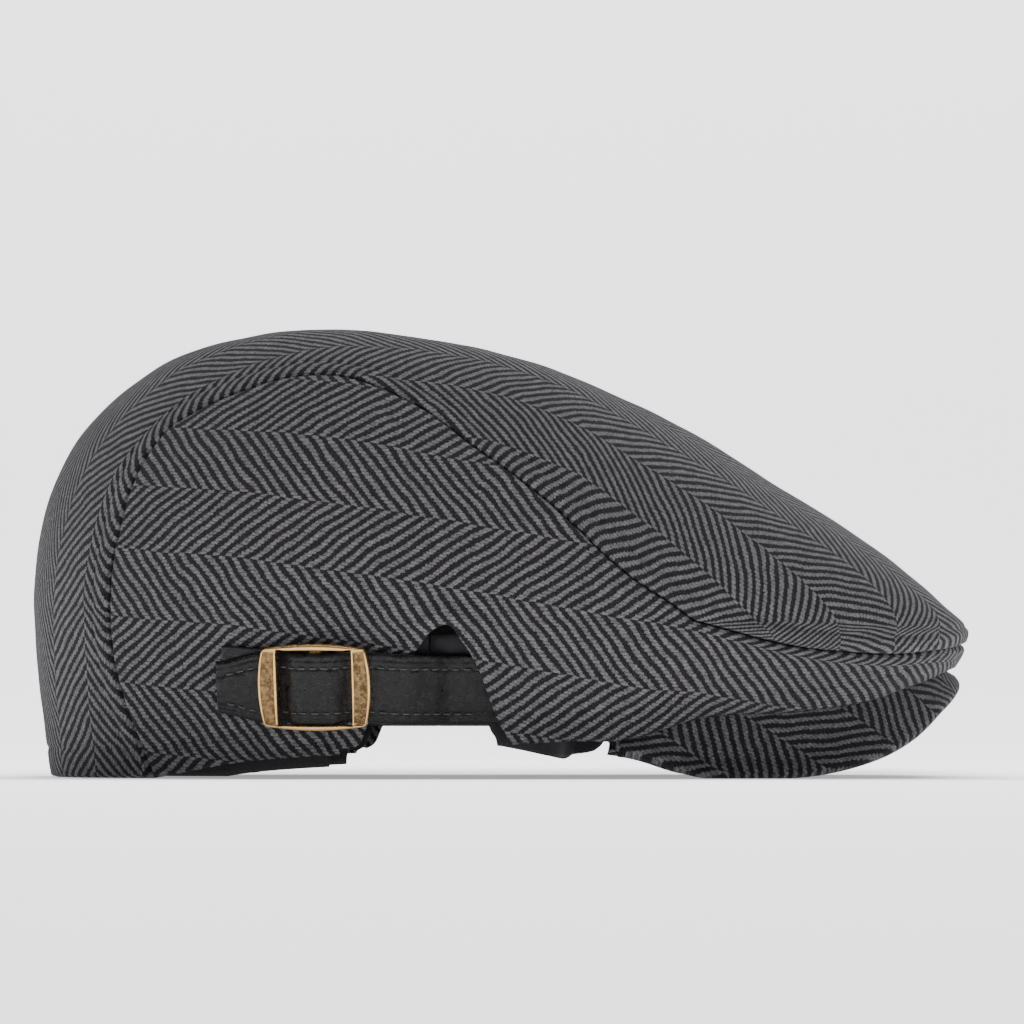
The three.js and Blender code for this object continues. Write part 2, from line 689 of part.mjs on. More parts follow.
// Path of the strap along the wall, from its sewn front end to its free tip. The along
// is a share of the strap's length, and the lift is to its inner face.
const slotEdge = (along) => SLOT_MIDDLE + along * SLOT_WIDTH;
const strapFront = () => slotEdge(0.5) + STRAP_SEWN;

function strapPath() {
  const sideBar = (BUCKLE_LENGTH - WINDOW_LENGTH) / 2;
  const bars = (BUCKLE_LENGTH - sideBar) / 2;
  const beside = sideBar / 2 + LAYER_GAP;
  const hump = MIDDLE_BAR / 2 + LOOP_RADIUS + LAYER_GAP;
  const [ahead, behind] = [BUCKLE_MIDDLE + bars, BUCKLE_MIDDLE - bars];
  return [
    { at: strapFront(), lift: INSIDE_LIFT, drop: STRAP_DROP },
    { at: slotEdge(0.45), lift: INSIDE_LIFT, drop: STRAP_DROP },
    { at: slotEdge(0.15), lift: INSIDE_LIFT, drop: STRAP_DROP },
    { at: slotEdge(0.02), lift: INSIDE_LIFT / 2, drop: STRAP_DROP * 0.7 },
    { at: slotEdge(-0.12), lift: LAYER_GAP, drop: STRAP_DROP * 0.4 },
    { at: slotEdge(-0.25), lift: STRAP_LIFT, drop: STRAP_DROP * 0.2 },
    { at: ahead + beside, lift: STRAP_LIFT, drop: 0 },
    { at: ahead - beside, lift: STRAP_LIFT, drop: 0 },
    { at: BUCKLE_MIDDLE + hump, lift: HUMP_LIFT, drop: 0 },
    { at: BUCKLE_MIDDLE - hump, lift: HUMP_LIFT, drop: 0 },
    { at: behind + beside, lift: STRAP_LIFT, drop: 0 },
    { at: behind - beside, lift: STRAP_LIFT, drop: 0 },
    { at: mix(behind, strapFront() - STRAP_LENGTH, 0.5), lift: STRAP_LIFT, drop: 0 },
    { at: strapFront() - STRAP_LENGTH, lift: STRAP_LIFT, drop: 0 },
  ];
}

// The strap narrows towards its free tip.
function strapHalfWidth(at) {
  const tip = strapFront() - STRAP_LENGTH;
  const behind = BUCKLE_MIDDLE - BUCKLE_LENGTH / 2;
  const share = smooth((behind - at) / (behind - tip));
  return STRAP_WIDTH / 2 * mix(1, STRAP_TIP, share);
}

function ribbon(side, path, halfWidth, thickness) {
  const face = (extra) => path.map((row) => (
    Array.from({ length: STRAP_ROWS + 1 }, (_, j) => {
      const across = mix(-1, 1, j / STRAP_ROWS) * halfWidth(row.at);
      return onWall(side, row.at, across - row.drop, row.lift + extra);
    })));
  return sheetSolid(face(thickness), face(0));
}

const strap = (side) => ribbon(side, strapPath(), strapHalfWidth, STRAP_THICKNESS);

// The tab lies on the cloth behind the slot and loops round the buckle's middle bar.
function strapTab(side) {
  const tip = strapFront() - STRAP_LENGTH + TAB_SHORT;
  const radius = LOOP_RADIUS;
  const middle = TAB_LIFT + radius;
  const turnAt = BUCKLE_MIDDLE + MIDDLE_BAR / 2;
  const steps = LOOP_STEPS;
  const raise = (at) => TAB_RAISE * Math.max(0, (turnAt - at) / (turnAt - tip));
  const outline = (r) => [
    { at: tip, lift: middle - r },
    { at: mix(tip, turnAt, 0.5), lift: middle - r },
    ...Array.from({ length: steps + 1 }, (_, i) => {
      const angle = Math.PI * (i / steps - 0.5);
      return { at: turnAt + r * Math.cos(angle), lift: middle + r * Math.sin(angle) };
    }),
    { at: BUCKLE_MIDDLE - MIDDLE_BAR / 2 - LAYER_GAP, lift: middle + r },
  ];
  const face = (r) => outline(r).map((row) => (
    [-1, 0, 1].map((across) => (
      onWall(side, row.at, across * TAB_WIDTH / 2 + raise(row.at), row.lift)))));
  return sheetSolid(face(radius), face(radius - TAB_THICKNESS));
}

// The buckle is a frame with a middle bar set lower, bent to the wall's curve.
function buckle(side) {
  const [length, height] = [BUCKLE_LENGTH / 2, BUCKLE_HEIGHT / 2];
  const corner = BUCKLE_CORNER;
  const [beyondBar, beyondRail] = [length + 2 * BAR_BOW, height + 2 * RAIL_BOW];
  const outline = new THREE.Shape();
  outline.moveTo(-length + corner, -height);
  outline.quadraticCurveTo(0, -beyondRail, length - corner, -height);
  outline.lineTo(length, -height + corner);
  outline.quadraticCurveTo(beyondBar, 0, length, height - corner);
  outline.lineTo(length - corner, height);
  outline.quadraticCurveTo(0, beyondRail, -length + corner, height);
  outline.lineTo(-length, height - corner);
  outline.quadraticCurveTo(-beyondBar, 0, -length, -height + corner);
  outline.holes.push(barShape(WINDOW_LENGTH, WINDOW_HEIGHT));
  const frame = extruded(outline, BUCKLE_THICKNESS, FRAME_LIFT, BAR_STEPS);
  const bar = barShape(MIDDLE_BAR, WINDOW_HEIGHT + 2 * POST);
  const low = extruded(bar, MIDDLE_BAR_THICKNESS, MIDDLE_BAR_LIFT, 1);
  const joined = [-1, 1].reduce((solid, end) => (
    solid.add(toManifold(barEnd(end)))), toManifold(frame).add(toManifold(low)));
  const geometry = fromManifold(joined);
  const position = geometry.attributes.position;
  for (let i = 0; i < position.count; i += 1) {
    const [along, up, lift] = [position.getX(i), position.getY(i), position.getZ(i)];
    const point = onWall(side, BUCKLE_MIDDLE + along, BUCKLE_RISE + up, lift);
    position.setXYZ(i, point.x, point.y, point.z);
  }
  if (signedVolume(geometry) < 0) geometry.setIndex([...geometry.index.array].reverse());
  return geometry;
}

function barShape(width, height) {
  const shape = new THREE.Shape();
  shape.moveTo(-width / 2, -height / 2);
  shape.lineTo(width / 2, -height / 2);
  shape.lineTo(width / 2, height / 2);
  shape.lineTo(-width / 2, height / 2);
  return shape;
}

function extruded(shape, depth, lift, curveSegments) {
  const solid = new THREE.ExtrudeGeometry(shape, { depth, bevelEnabled: false, curveSegments });
  solid.translate(0, 0, lift);
  solid.deleteAttribute('normal');
  solid.deleteAttribute('uv');
  return solid;
}

// The post at each end of the middle bar, down from the rail.
function barEnd(end) {
  const post = barShape(MIDDLE_BAR, POST);
  const depth = FRAME_LIFT + BUCKLE_THICKNESS / 2 - MIDDLE_BAR_LIFT;
  const solid = extruded(post, depth, MIDDLE_BAR_LIFT, 1);
  solid.translate(0, end * (WINDOW_HEIGHT + POST) / 2, 0);
  return solid;
}

// The finished cap
const WOOL = { color: 0x56565a, roughness: 0.95, metalness: 0 };
const BLACK_CLOTH = { color: 0x141416, roughness: 0.7, metalness: 0 };
const BLACK_LEATHER = { color: 0x1a1a1c, roughness: 0.45, metalness: 0 };
const ANTIQUE_BRASS = { color: 0x8a6a35, roughness: 0.4, metalness: 1 };

const cap = new THREE.Group();

function add(name, geometry, finish) {
  const mesh = new THREE.Mesh(geometry, new THREE.MeshStandardMaterial(finish));
  mesh.name = name;
  cap.add(mesh);
}

add('crown_top_panel', crownTopPanel(), WOOL);
add('peak', peak(), WOOL);
add('lining', liningSolid(), BLACK_CLOTH);
add('sweatband_front', sweatband(-SLOT_TURN, SLOT_TURN, BAND_FRONT_COLUMNS), BLACK_CLOTH);
add('sweatband_back', sweatband(BAND_START, 2 * Math.PI - BAND_START, BAND_BACK_COLUMNS), BLACK_CLOTH);
for (const [name, side] of [['right', -1], ['left', 1]]) {
  add(`side_panel_${name}`, sidePanel(side), WOOL);
  add(`strap_${name}`, strap(side), BLACK_LEATHER);
  add(`strap_tab_${name}`, strapTab(side), BLACK_LEATHER);
  add(`buckle_${name}`, buckle(side), ANTIQUE_BRASS);
}

export default cap;
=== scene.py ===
import math

import bmesh
import bpy
import numpy as np
from mathutils import Matrix, Vector


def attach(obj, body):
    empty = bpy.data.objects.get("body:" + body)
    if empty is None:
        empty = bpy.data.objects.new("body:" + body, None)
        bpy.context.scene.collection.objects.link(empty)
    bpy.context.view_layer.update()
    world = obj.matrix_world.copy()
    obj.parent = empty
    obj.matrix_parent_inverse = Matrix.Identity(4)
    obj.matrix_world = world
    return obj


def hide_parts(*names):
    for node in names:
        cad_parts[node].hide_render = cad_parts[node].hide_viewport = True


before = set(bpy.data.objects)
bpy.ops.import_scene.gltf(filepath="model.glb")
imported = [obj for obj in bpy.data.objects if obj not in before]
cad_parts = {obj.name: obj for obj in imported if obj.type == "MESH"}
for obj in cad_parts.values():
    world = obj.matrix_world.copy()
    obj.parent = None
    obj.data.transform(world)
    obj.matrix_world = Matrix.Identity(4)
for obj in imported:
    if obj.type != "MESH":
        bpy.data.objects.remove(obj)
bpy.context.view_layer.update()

MM = 0.001
scene = bpy.context.scene
ROOT, UV_SIZE = "root", 100.0

# Sizes in millimetres, as in the solids. TOP_ROUND and TOP_FALL soften the outline's top here
CROWN_LENGTH, CROWN_WIDTH, CROWN_HEIGHT = 277.4, 178.0, 133.2
TOP_BEHIND_MIDDLE, TOP_ROUND, TOP_FALL = 49.3, 14.0, 0.83
BACK_SHOULDER, SIDE_SHOULDER, FRONT_SHOULDER = 53.0, 45.0, 43.0
FRONT_SQUARENESS, BACK_SQUARENESS = 3.2, 2.4
HEM_TUCK, TUCK_CURVE, CLOTH = 7.0, 1.8, 2.0
HEAD_FRONT, HEAD_SQUARENESS = 70.0, 2.2
LINING, LINING_SHORT, LINING_EASE = 1.0, 3.0, 1.0
BAND, BAND_EASE, BAND_HEIGHT, BAND_DROP = 1.1, 1.0, 35.5, 3.2
HEAD_FRONT_SHOULDER, HEAD_FRONT_SQUARENESS, HEAD_FRONT_REACH = 72.0, 8.0, 1.2
PEAK_TO_HEM_TURN = 10.0
PEAK_THICKNESS, PEAK_TIP_HEIGHT, PEAK_JOINT_HEIGHT = 3.4, 29.5, 43.0
PEAK_CORNER_HEIGHT, PEAK_INSET, PEAK_CROWNING = 10.0, 6.0, 0.09
PEAK_SHARE_UNDER_CROWN, PEAK_ARCH_CURVE = 0.8, 2.2
PEAK_SWEEP, PEAK_INNER_SWEEP = 76.0, 60.0
SLOT_WIDTH, SLOT_HEIGHT, SLOT_MIDDLE = 44.0, 44.0, -19.8
# How much narrower the slot is in the lining and the sweatbands: front, top, height limit, back
LINING_SLOT, BAND_SLOT = (-1.2, -1.0, 45.0, 3.0), (2.8, 4.0, 15.2, 3.0)
STRAP_WIDTH, STRAP_THICKNESS, STRAP_HEIGHT, STRAP_LENGTH = 20.2, 1.6, 26.2, 91.6
STRAP_SEWN, STRAP_DROP, STRAP_TIP = 10.0, 2.2, 0.74
TAB_WIDTH, TAB_THICKNESS, TAB_SHORT, TAB_RAISE = 19.5, 1.0, 1.4, 1.9
BUCKLE_LENGTH, BUCKLE_HEIGHT = 28.6, 21.9
BUCKLE_MIDDLE, BUCKLE_RISE, BAR_BOW, RAIL_BOW = -51.4, 0.25, 1.35, 1.4
WINDOW_LENGTH, WINDOW_HEIGHT, POST, MIDDLE_BAR, MIDDLE_BAR_THICKNESS = 20.5, 21.0, 1.2, 3.6, 1.6
SEAM_GAP, LAYER_GAP, SLOT_HEM = 0.3, 0.3, 9.0
HALF_LENGTH, HALF_WIDTH = CROWN_LENGTH / 2, CROWN_WIDTH / 2
FRONT_SEAM_TURN = SEAM_GAP / HALF_WIDTH
# The cutting tools' ends across the cap, the cloth's lowest places and the step that slopes are taken over
CUT_NEAR, CUT_NEAR_BAND, CUT_FAR = 50, 40, 130
CLOTH_FOOT, PEAK_FOOT, TINY = 0.02, 0.05, 1e-3
# The camera, and where its view falls in the photograph, in pixels
CAMERA_X, CAMERA_AWAY, CAMERA_Z, CAMERA_AIM, LENS = 3.55, 1500, 12, 79.2, 176
MM_PER_PIXEL, PIXEL_X, PIXEL_Z = 0.3, 512, 736
# Edges of the weave's columns in the photograph, in pixels
SIDE_COLUMN = [(118, 541), (193, 553), (380, 584), (461, 597), (553, 601), (610, 613), (686, 627)]
TOP_COLUMN = [(584, 420), (630, 452), (694, 500), (747, 551), (801, 594), (853, 650)]
PEAK_COLUMN = [(767, 727), (793, 746), (827, 767)]

# Roundings of the sewn edges, then swellings and grooves beside them: distance from the edge, width
SEAM_ROLL, HEM_ROLL, FACING_ROLL = 1.5, 1.2, 1.3
WELT, WELT_GROOVE, WELT_PUCKER, PLAIN_PUCKER = (3.0, 2.4), (5.6, 0.8), (2.4, 2.6), (1.8, 2.6)
HEM_SWELL, HEM_GROOVE, FACING_SWELL, FACING_GROOVE = (4.2, 3.2), (8.6, 0.8), (3.4, 2.2), (6.4, 1.0)
PEAK_GROOVE = (5.0, 0.7)
# Steps along and across the grids of the panels
TOP_STEPS, SIDE_STEPS, PEAK_STEPS = (260, 150), (240, 110), (200, 20)

# swing, front, back
MIDDLE_LINE = np.array([
    [0, 1, 1], [15, 0.9204, 0.9733], [30, 0.7243, 0.9038], [45, 0.4748, 0.7625],
    [60, 0.2595, 0.5739], [75, 0.0844, 0.3191], [90, 0, 0]])
# along, power
BOXINESS = np.array([[-1, 2.2], [-0.6, 2.9], [-0.3, 3.5], [0, 3.1], [0.39, 2.4], [1, 2.2]])
# turn, height, tuck
LOWER_EDGE = np.array([
    [0, 0.753, 0.57], [20, 0.72, 0.7], [35, 0.62, 1.1], [45, 0.51, 1.4], [55, 0.44, 1.6],
    [66, 0.4, 1.55], [75, 0.255, 1.2], [82, 0.244, 1.05], [92, 0.21, 1], [106, 0.165, 0.95],
    [120, 0.115, 0.85], [130, 0.035, 0.8], [135, 0, 0.75], [180, 0, 0.7]])
# along, turn, level
SEAM = np.array([
    [0, 134, 2], [0.03, 136.2, 1.742], [0.085, 139.6, 1.305], [0.125, 140.4, 0.987],
    [0.177, 140.1, 0.872], [0.227, 139.7, 0.755], [0.258, 137.2, 0.686], [0.317, 128.4, 0.598],
    [0.372, 116.8, 0.557], [0.432, 103.5, 0.589], [0.491, 93.1, 0.67], [0.556, 83.4, 0.762],
    [0.625, 75, 0.893], [0.675, 68.4, 0.994], [0.729, 60, 1.215], [0.763, 54.5, 1.308],
    [0.831, 42.1, 1.42], [0.892, 28.6, 1.41], [1, 0, 1.345]])
SEAM_BEND, SEAM_CORNER = 10 / 44, 36 / 44
# sweep, inset, height
PEAK_EDGE = np.array([
    [0, 0.25, 1], [0.25, 0.35, 0.86], [0.4, 0.45, 0.68], [0.5, 0.55, 0.43], [0.6, 0.65, 0.22],
    [0.7, 0.8, 0.08], [0.8, 0.95, 0.035], [0.88, 1.1, 0.05], [0.95, 1.25, 0.2], [1, 1.35, 0.3]])
# along, up
SLOT_OUTLINE = np.array([
    [0.5, -0.2], [0.5, 0.22], [0.45, 0.35], [0.4, 0.475], [0.33, 0.67], [0.27, 0.79], [0.2, 0.895],
    [0.15, 0.965], [0.1, 0.988], [0.03, 0.958], [-0.02, 0.912], [-0.07, 0.84], [-0.25, 0.62],
    [-0.36, 0.43], [-0.4, 0.34], [-0.445, 0.234], [-0.5, 0.19], [-0.58, 0.16], [-0.58, -0.2]])
# x, height of the front sweatband's foot beside the peak
BAND_EDGE = np.array([[-2, 9.6], [1, 9.1], [9.2, 7.75], [16.3, 6.6], [24, 5.7], [32.7, 5.8], [40, 8.5]])
# up, strap
BAND_DEPTH = np.array([[0, 0], [0.27, 1], [0.65, 1.1], [1, 1]])


def read(table, column, at, flat=False):
    """A smooth curve through a table's column. A flat one never overshoots its rows."""
    keys, values = table[:, 0], table[:, column]
    x = np.clip(at, keys[0], keys[-1])
    i = np.clip(np.searchsorted(keys, x) - 1, 0, len(keys) - 2)
    rise = np.diff(values) / np.diff(keys)
    slope = np.empty(len(keys))
    slope[0], slope[-1] = rise[0], rise[-1]
    slope[1:-1] = (values[2:] - values[:-2]) / (keys[2:] - keys[:-2])
    if flat:
        product = rise[1:] * rise[:-1]
        total = rise[1:] + rise[:-1]
        safe = np.where(total == 0, 1, total)
        slope[1:-1] = np.where(product > 0, 2 * product / safe, 0)
        slope[0] = slope[-1] = 0
    step = keys[i + 1] - keys[i]
    t = (x - keys[i]) / step
    return (values[i] * (1 + 2 * t) * (1 - t) ** 2 + values[i + 1] * t**2 * (3 - 2 * t)
            + step * (slope[i] * t * (1 - t) ** 2 + slope[i + 1] * t**2 * (t - 1)))


def mix(a, b, t):
    return a + (b - a) * t


def smooth(t):
    c = np.clip(t, 0, 1)
    return c * c * (3 - 2 * c)


def stack(*parts):
    return np.stack(np.broadcast_arrays(*parts), axis=-1)


CROWN = (HALF_LENGTH, FRONT_SQUARENESS)
HEAD = (HEAD_FRONT, HEAD_SQUARENESS)


def plan_point(form, turn, out):
    c, s = np.cos(turn), np.sin(turn)
    square = np.where(c > 0, form[1], BACK_SQUARENESS)
    reach = np.where(c > 0, form[0], HALF_LENGTH)
    n = 2 + (square - 2) * out**2
    k = out * (np.abs(c) ** n + np.abs(s) ** n) ** (-1 / n)
    return reach * k * c, HALF_WIDTH * k * s


def plan_normal(form, turn):
    x, y = plan_point(form, turn, 1)
    n = np.where(x > 0, form[1], BACK_SQUARENESS)
    reach = np.where(x > 0, form[0], HALF_LENGTH)
    nx = np.sign(x) * np.abs(x / reach) ** (n - 1) / reach
    ny = np.sign(y) * np.abs(y / HALF_WIDTH) ** (n - 1) / HALF_WIDTH
    size = np.hypot(nx, ny)
    return nx / size, ny / size


def half_width(x):
    n = np.where(x > 0, FRONT_SQUARENESS, BACK_SQUARENESS)
    share = np.minimum(1, np.abs(x) / HALF_LENGTH)
    return HALF_WIDTH * (1 - share**n) ** (1 / n)


def shoulder(x):
    share = x / HALF_LENGTH
    return np.where(x > 0, mix(SIDE_SHOULDER, FRONT_SHOULDER, share**2),
                    mix(SIDE_SHOULDER, BACK_SHOULDER, share**4))


def middle_line(x):
    top = -TOP_BEHIND_MIDDLE
    ahead = x > top
    reach = np.where(ahead, HALF_LENGTH - top, HALF_LENGTH + top)
    swing = np.degrees(np.arcsin(np.minimum(1, np.abs(x - top) / reach)))
    base = np.where(ahead, FRONT_SHOULDER, BACK_SHOULDER)
    share = np.where(ahead, read(MIDDLE_LINE, 1, swing), read(MIDDLE_LINE, 2, swing))
    rounding = np.maximum(0, 1 - np.abs(x - top) / TOP_ROUND) ** 2
    return mix(base, CROWN_HEIGHT, share) - TOP_FALL * rounding


def dome_height(x, y):
    across = np.minimum(1, np.abs(y) / np.maximum(half_width(x), 1e-6))
    power = read(BOXINESS, 1, x / HALF_LENGTH)
    return mix(shoulder(x), middle_line(x), np.sqrt(1 - across**power))


def edge_height(turn):
    return FRONT_SHOULDER * np.maximum(0, read(LOWER_EDGE, 1, np.degrees(np.abs(turn))))


def edge_tuck(turn):
    return HEM_TUCK * read(LOWER_EDGE, 2, np.degrees(np.abs(turn)))


def edge_beside(turn):
    ahead = np.cos(turn)
    return edge_height(np.where(ahead > 0, np.arccos(np.abs(ahead) * HEAD_FRONT / HALF_LENGTH), turn))


def wall_point(form, turn, z):
    x, y = plan_point(form, turn, 1)
    top = shoulder(x)
    down = np.maximum(0, (top - z) / (top - edge_height(turn)))
    nx, ny = plan_normal(form, turn)
    inward = edge_tuck(turn) * down**TUCK_CURVE
    return stack(x - nx * inward, y - ny * inward, z)


def crown(a, b):
    level = np.hypot(a, b)
    turn = np.arctan2(b, a)
    top = shoulder(plan_point(CROWN, turn, 1)[0])
    wall = wall_point(CROWN, turn, mix(top, edge_height(turn), np.maximum(level, 1) - 1))
    x, y = plan_point(CROWN, turn, np.sin(np.minimum(level, 1) * np.pi / 2))
    dome = stack(x, y, dome_height(x, y))
    return np.where((level > 1)[..., None], wall, dome)


def peak_inner_height(sweep):
    fall = 1 - np.sqrt(np.maximum(0, 1 - sweep**PEAK_ARCH_CURVE))
    return mix(PEAK_JOINT_HEIGHT, PEAK_CORNER_HEIGHT, fall)


def from_peak_to_hem(turn, on_peak, on_hem):
    corner = math.radians(PEAK_INNER_SWEEP)
    return mix(on_peak, on_hem, smooth((np.abs(turn) - corner) / math.radians(PEAK_TO_HEM_TURN)))


def head(a, b):
    level = np.hypot(a, b)
    turn = np.arctan2(b, a)
    ahead = smooth(np.maximum(0, np.cos(turn)))
    top = mix(shoulder(plan_point(HEAD, turn, 1)[0]), HEAD_FRONT_SHOULDER, ahead)
    sweep = np.minimum(1, np.abs(turn) / math.radians(PEAK_INNER_SWEEP))
    foot = from_peak_to_hem(turn, peak_inner_height(sweep) + LAYER_GAP,
                            edge_beside(turn) + LINING_SHORT)
    wall = wall_point(HEAD, turn, mix(top, foot, np.maximum(level, 1) - 1))
    out = np.sin(np.minimum(level, 1) * np.pi / 2)
    x, y = plan_point(HEAD, turn, out)
    ahead = smooth(np.cos(turn) * HEAD_FRONT_REACH)
    fall = 1 - ahead * (1 - np.sqrt(1 - out**HEAD_FRONT_SQUARENESS))
    base = mix(shoulder(x), top, ahead)
    dome = stack(x, y, mix(base, dome_height(x, y), fall))
    return np.where((level > 1)[..., None], wall, dome)


def slopes(surface, a, b):
    d = TINY
    return ((surface(a + d, b) - surface(a - d, b)) / (2 * d),
            (surface(a, b + d) - surface(a, b - d)) / (2 * d))


def run_along(line):
    """How far along a line of points each of them is."""
    return np.concatenate([[0], np.cumsum(np.linalg.norm(np.diff(line, axis=0), axis=-1))])


def unit(v):
    return v / np.maximum(np.linalg.norm(v, axis=-1, keepdims=True), 1e-9)


def normals(surface, a, b):
    da, db = slopes(surface, a, b)
    return unit(np.cross(da, db))


def polar(turn, level):
    return stack(level * np.cos(turn), level * np.sin(turn))


def seam_disc(along, side, towards):
    along = np.atleast_1d(np.asarray(along, float))

    def at(t):
        return polar(side * np.radians(read(SEAM, 1, t)), read(SEAM, 2, t))

    here = at(along)
    d = TINY
    run = at(np.minimum(1, along + d)) - at(np.maximum(0, along - d))
    da, db = slopes(crown, here[:, 0], here[:, 1])
    tangent = unit(da * run[:, :1] + db * run[:, 1:])
    step = np.cross(unit(np.cross(da, db)), tangent) * (-side * towards * SEAM_GAP / 2)
    aa, ab, bb = (da * da).sum(1), (da * db).sum(1), (db * db).sum(1)
    ga, gb = (step * da).sum(1), (step * db).sum(1)
    det = aa * bb - ab * ab
    return here + stack((ga * bb - gb * ab) / det, (gb * aa - ga * ab) / det)


def coons(back, front, near, far, u, v):
    """A patch of the disc between four curves, each given at u or v."""
    u, v = u[:, None, None], v[None, :, None]
    total = back[None] * (1 - u) + front[None] * u + near[:, None] * (1 - v) + far[:, None] * v
    total = total - back[:1][None] * (1 - u) * (1 - v) - back[-1:][None] * (1 - u) * v
    return total - front[:1][None] * u * (1 - v) - front[-1:][None] * u * v


def spread(count, ends=0.5):
    """Stations from 0 to 1, closer together at both ends."""
    t = np.linspace(0, 1, count + 1)
    return t - ends * np.sin(2 * np.pi * t) / (2 * np.pi)


def add_object(name, data):
    made = bpy.data.objects.new(name, data)
    scene.collection.objects.link(made)
    return made


def aim(thing, place, target):
    """Puts a camera or a light at a place and turns it to a target."""
    thing.location = place
    thing.rotation_euler = (Vector(target) - Vector(place)).to_track_quat("-Z", "Y").to_euler()


# Meshes from grids of points
def make_object(name, points, faces, uv=None, materials=()):
    mesh = bpy.data.meshes.new(name)
    points = np.asarray(points, float).reshape(-1, 3) * MM
    mesh.from_pydata(points.tolist(), [], [list(map(int, f)) for f in faces])
    if uv is not None:
        layer = mesh.uv_layers.new(name="cloth")
        index = np.empty(len(mesh.loops), dtype=np.int32)
        mesh.loops.foreach_get("vertex_index", index)
        layer.data.foreach_set("uv", (np.asarray(uv, float).reshape(-1, 2)[index] / UV_SIZE).ravel())
    mesh.polygons.foreach_set("use_smooth", [True] * len(mesh.polygons))
    mesh.update()
    for material in materials:
        mesh.materials.append(material)
    return add_object(name, mesh)


def fix_normals(piece):
    work = bmesh.new()
    work.from_mesh(piece.data)
    bmesh.ops.remove_doubles(work, verts=work.verts, dist=1e-7)
    bmesh.ops.recalc_face_normals(work, faces=work.faces)
    if work.calc_volume(signed=True) < 0:
        bmesh.ops.reverse_faces(work, faces=work.faces)
    work.to_mesh(piece.data)
    work.free()
    piece.data.update()
    return piece


def sheet_faces(rows, columns, ring=False):
    """Quads of a sheet's two faces and its rims. Its points are the outer grid's, then the inner's."""
    out = np.arange(rows * columns).reshape(rows, columns)
    if ring:
        out = np.concatenate([out, out[:, :1]], axis=1)
    inn = out + rows * columns

    def quads(grid):
        return np.stack([grid[:-1, :-1], grid[:-1, 1:], grid[1:, 1:], grid[1:, :-1]], -1).reshape(-1, 4)

    def rim(a, b):
        return np.stack([a[:-1], b[:-1], b[1:], a[1:]], -1)

    faces = [quads(out), quads(inn)[:, ::-1], rim(out[0], inn[0]), rim(inn[-1], out[-1])]
    if not ring:
        faces += [rim(inn[:, 0], out[:, 0]), rim(out[:, -1], inn[:, -1])]
    return np.concatenate(faces)


def tube_faces(start, rings, around):
    """Quads between rings of points, and the two caps."""
    faces = []
    for i in range(rings - 1):
        for j in range(around):
            a, b = start + i * around + j, start + i * around + (j + 1) % around
            faces.append([a, b, b + around, a + around])
    last = start + (rings - 1) * around
    return faces + [list(range(start, start + around))[::-1], list(range(last, last + around))]


def sheet_object(name, outer, inner, uv, material, ring=False):
    rows, columns = outer.shape[:2]
    points = np.concatenate([outer.reshape(-1, 3), inner.reshape(-1, 3)])
    both = np.concatenate([uv.reshape(-1, 2)] * 2)
    return fix_normals(make_object(name, points, sheet_faces(rows, columns, ring), both, [material]))


def edge_distance(points, line):
    """Each point's distance from a line of points, and how far along that line it is nearest."""
    shape = points.shape[:-1]
    flat = points.reshape(-1, 3)
    length = run_along(line)
    best = np.full(len(flat), 1e9)
    place = np.zeros(len(flat))
    for start in range(0, len(flat), 4000):
        part = flat[start:start + 4000]
        near = np.argmin(((part[:, None] - line[None]) ** 2).sum(-1), axis=1)
        for first in (np.maximum(near - 1, 0), np.minimum(near, len(line) - 2)):
            a, run = line[first], line[first + 1] - line[first]
            t = np.clip(((part - a) * run).sum(1) / np.maximum((run * run).sum(1), 1e-12), 0, 1)
            gap = np.linalg.norm(part - a - run * t[:, None], axis=1)
            closer = gap < best[start:start + 4000]
            best[start:start + 4000][closer] = gap[closer]
            place[start:start + 4000][closer] = mix(length[first], length[first + 1], t)[closer]
    return best.reshape(shape), place.reshape(shape)


def roll(distance, radius):
    """How far a folded edge of that radius has dropped at a distance from it."""
    share = np.clip(1 - distance / radius, 0, 1)
    return radius * (1 - np.sqrt(1 - share**2))


def dip(distance, middle, width):
    return np.exp(-(((distance - middle) / width) ** 2))


def waves(points, length, seed, count=7):
    """Smooth noise from -1 to 1 with waves about that long, the same in every run."""
    rng = np.random.default_rng(seed)
    total = np.zeros(points.shape[:-1])
    for _ in range(count):
        way = unit(rng.normal(size=3)) * 2 * np.pi / (length * rng.uniform(0.7, 1.5))
        total += np.sin(points @ way + rng.uniform(0, 2 * np.pi))
    return total / math.sqrt(count) / 1.4


# Flat cloth coordinates of a curved panel, in millimetres
def relax(points, flat, rounds, pin=None):
    """Moves the flat grid until the spacing of its points is the curved panel's."""
    ways = [((1, 0), 1.0), ((0, 1), 1.0), ((1, 1), 0.6), ((1, -1), 0.6)]
    pairs = []
    for (di, dj), weight in ways:
        if dj >= 0:
            a, b = np.s_[:points.shape[0] - di, :points.shape[1] - dj], np.s_[di:, dj:]
        else:
            a, b = np.s_[:points.shape[0] - di, 1:], np.s_[di:, :-1]
        pairs.append((a, b, np.linalg.norm(points[b] - points[a], axis=-1), weight))
    for _ in range(rounds):
        move = np.zeros_like(flat)
        total = np.zeros(flat.shape[:2] + (1,))
        for a, b, rest, weight in pairs:
            gap = flat[b] - flat[a]
            size = np.maximum(np.linalg.norm(gap, axis=-1), 1e-9)
            pull = gap * ((size - rest) / size * 0.5)[..., None] * weight
            move[a] += pull
            move[b] -= pull
            total[a] += weight
            total[b] += weight
        flat = flat + move / total * 1.6
        if pin is not None:
            flat[:, pin, 1] = 0
    return flat


def enlarge(grid, rows, columns):
    """The grid with more points between its own, on straight lines."""
    for axis, count in enumerate((rows, columns)):
        old = np.arange(grid.shape[axis])
        new = np.linspace(0, old[-1], count)
        grid = np.apply_along_axis(lambda line: np.interp(new, old, line), axis, grid)
    return grid


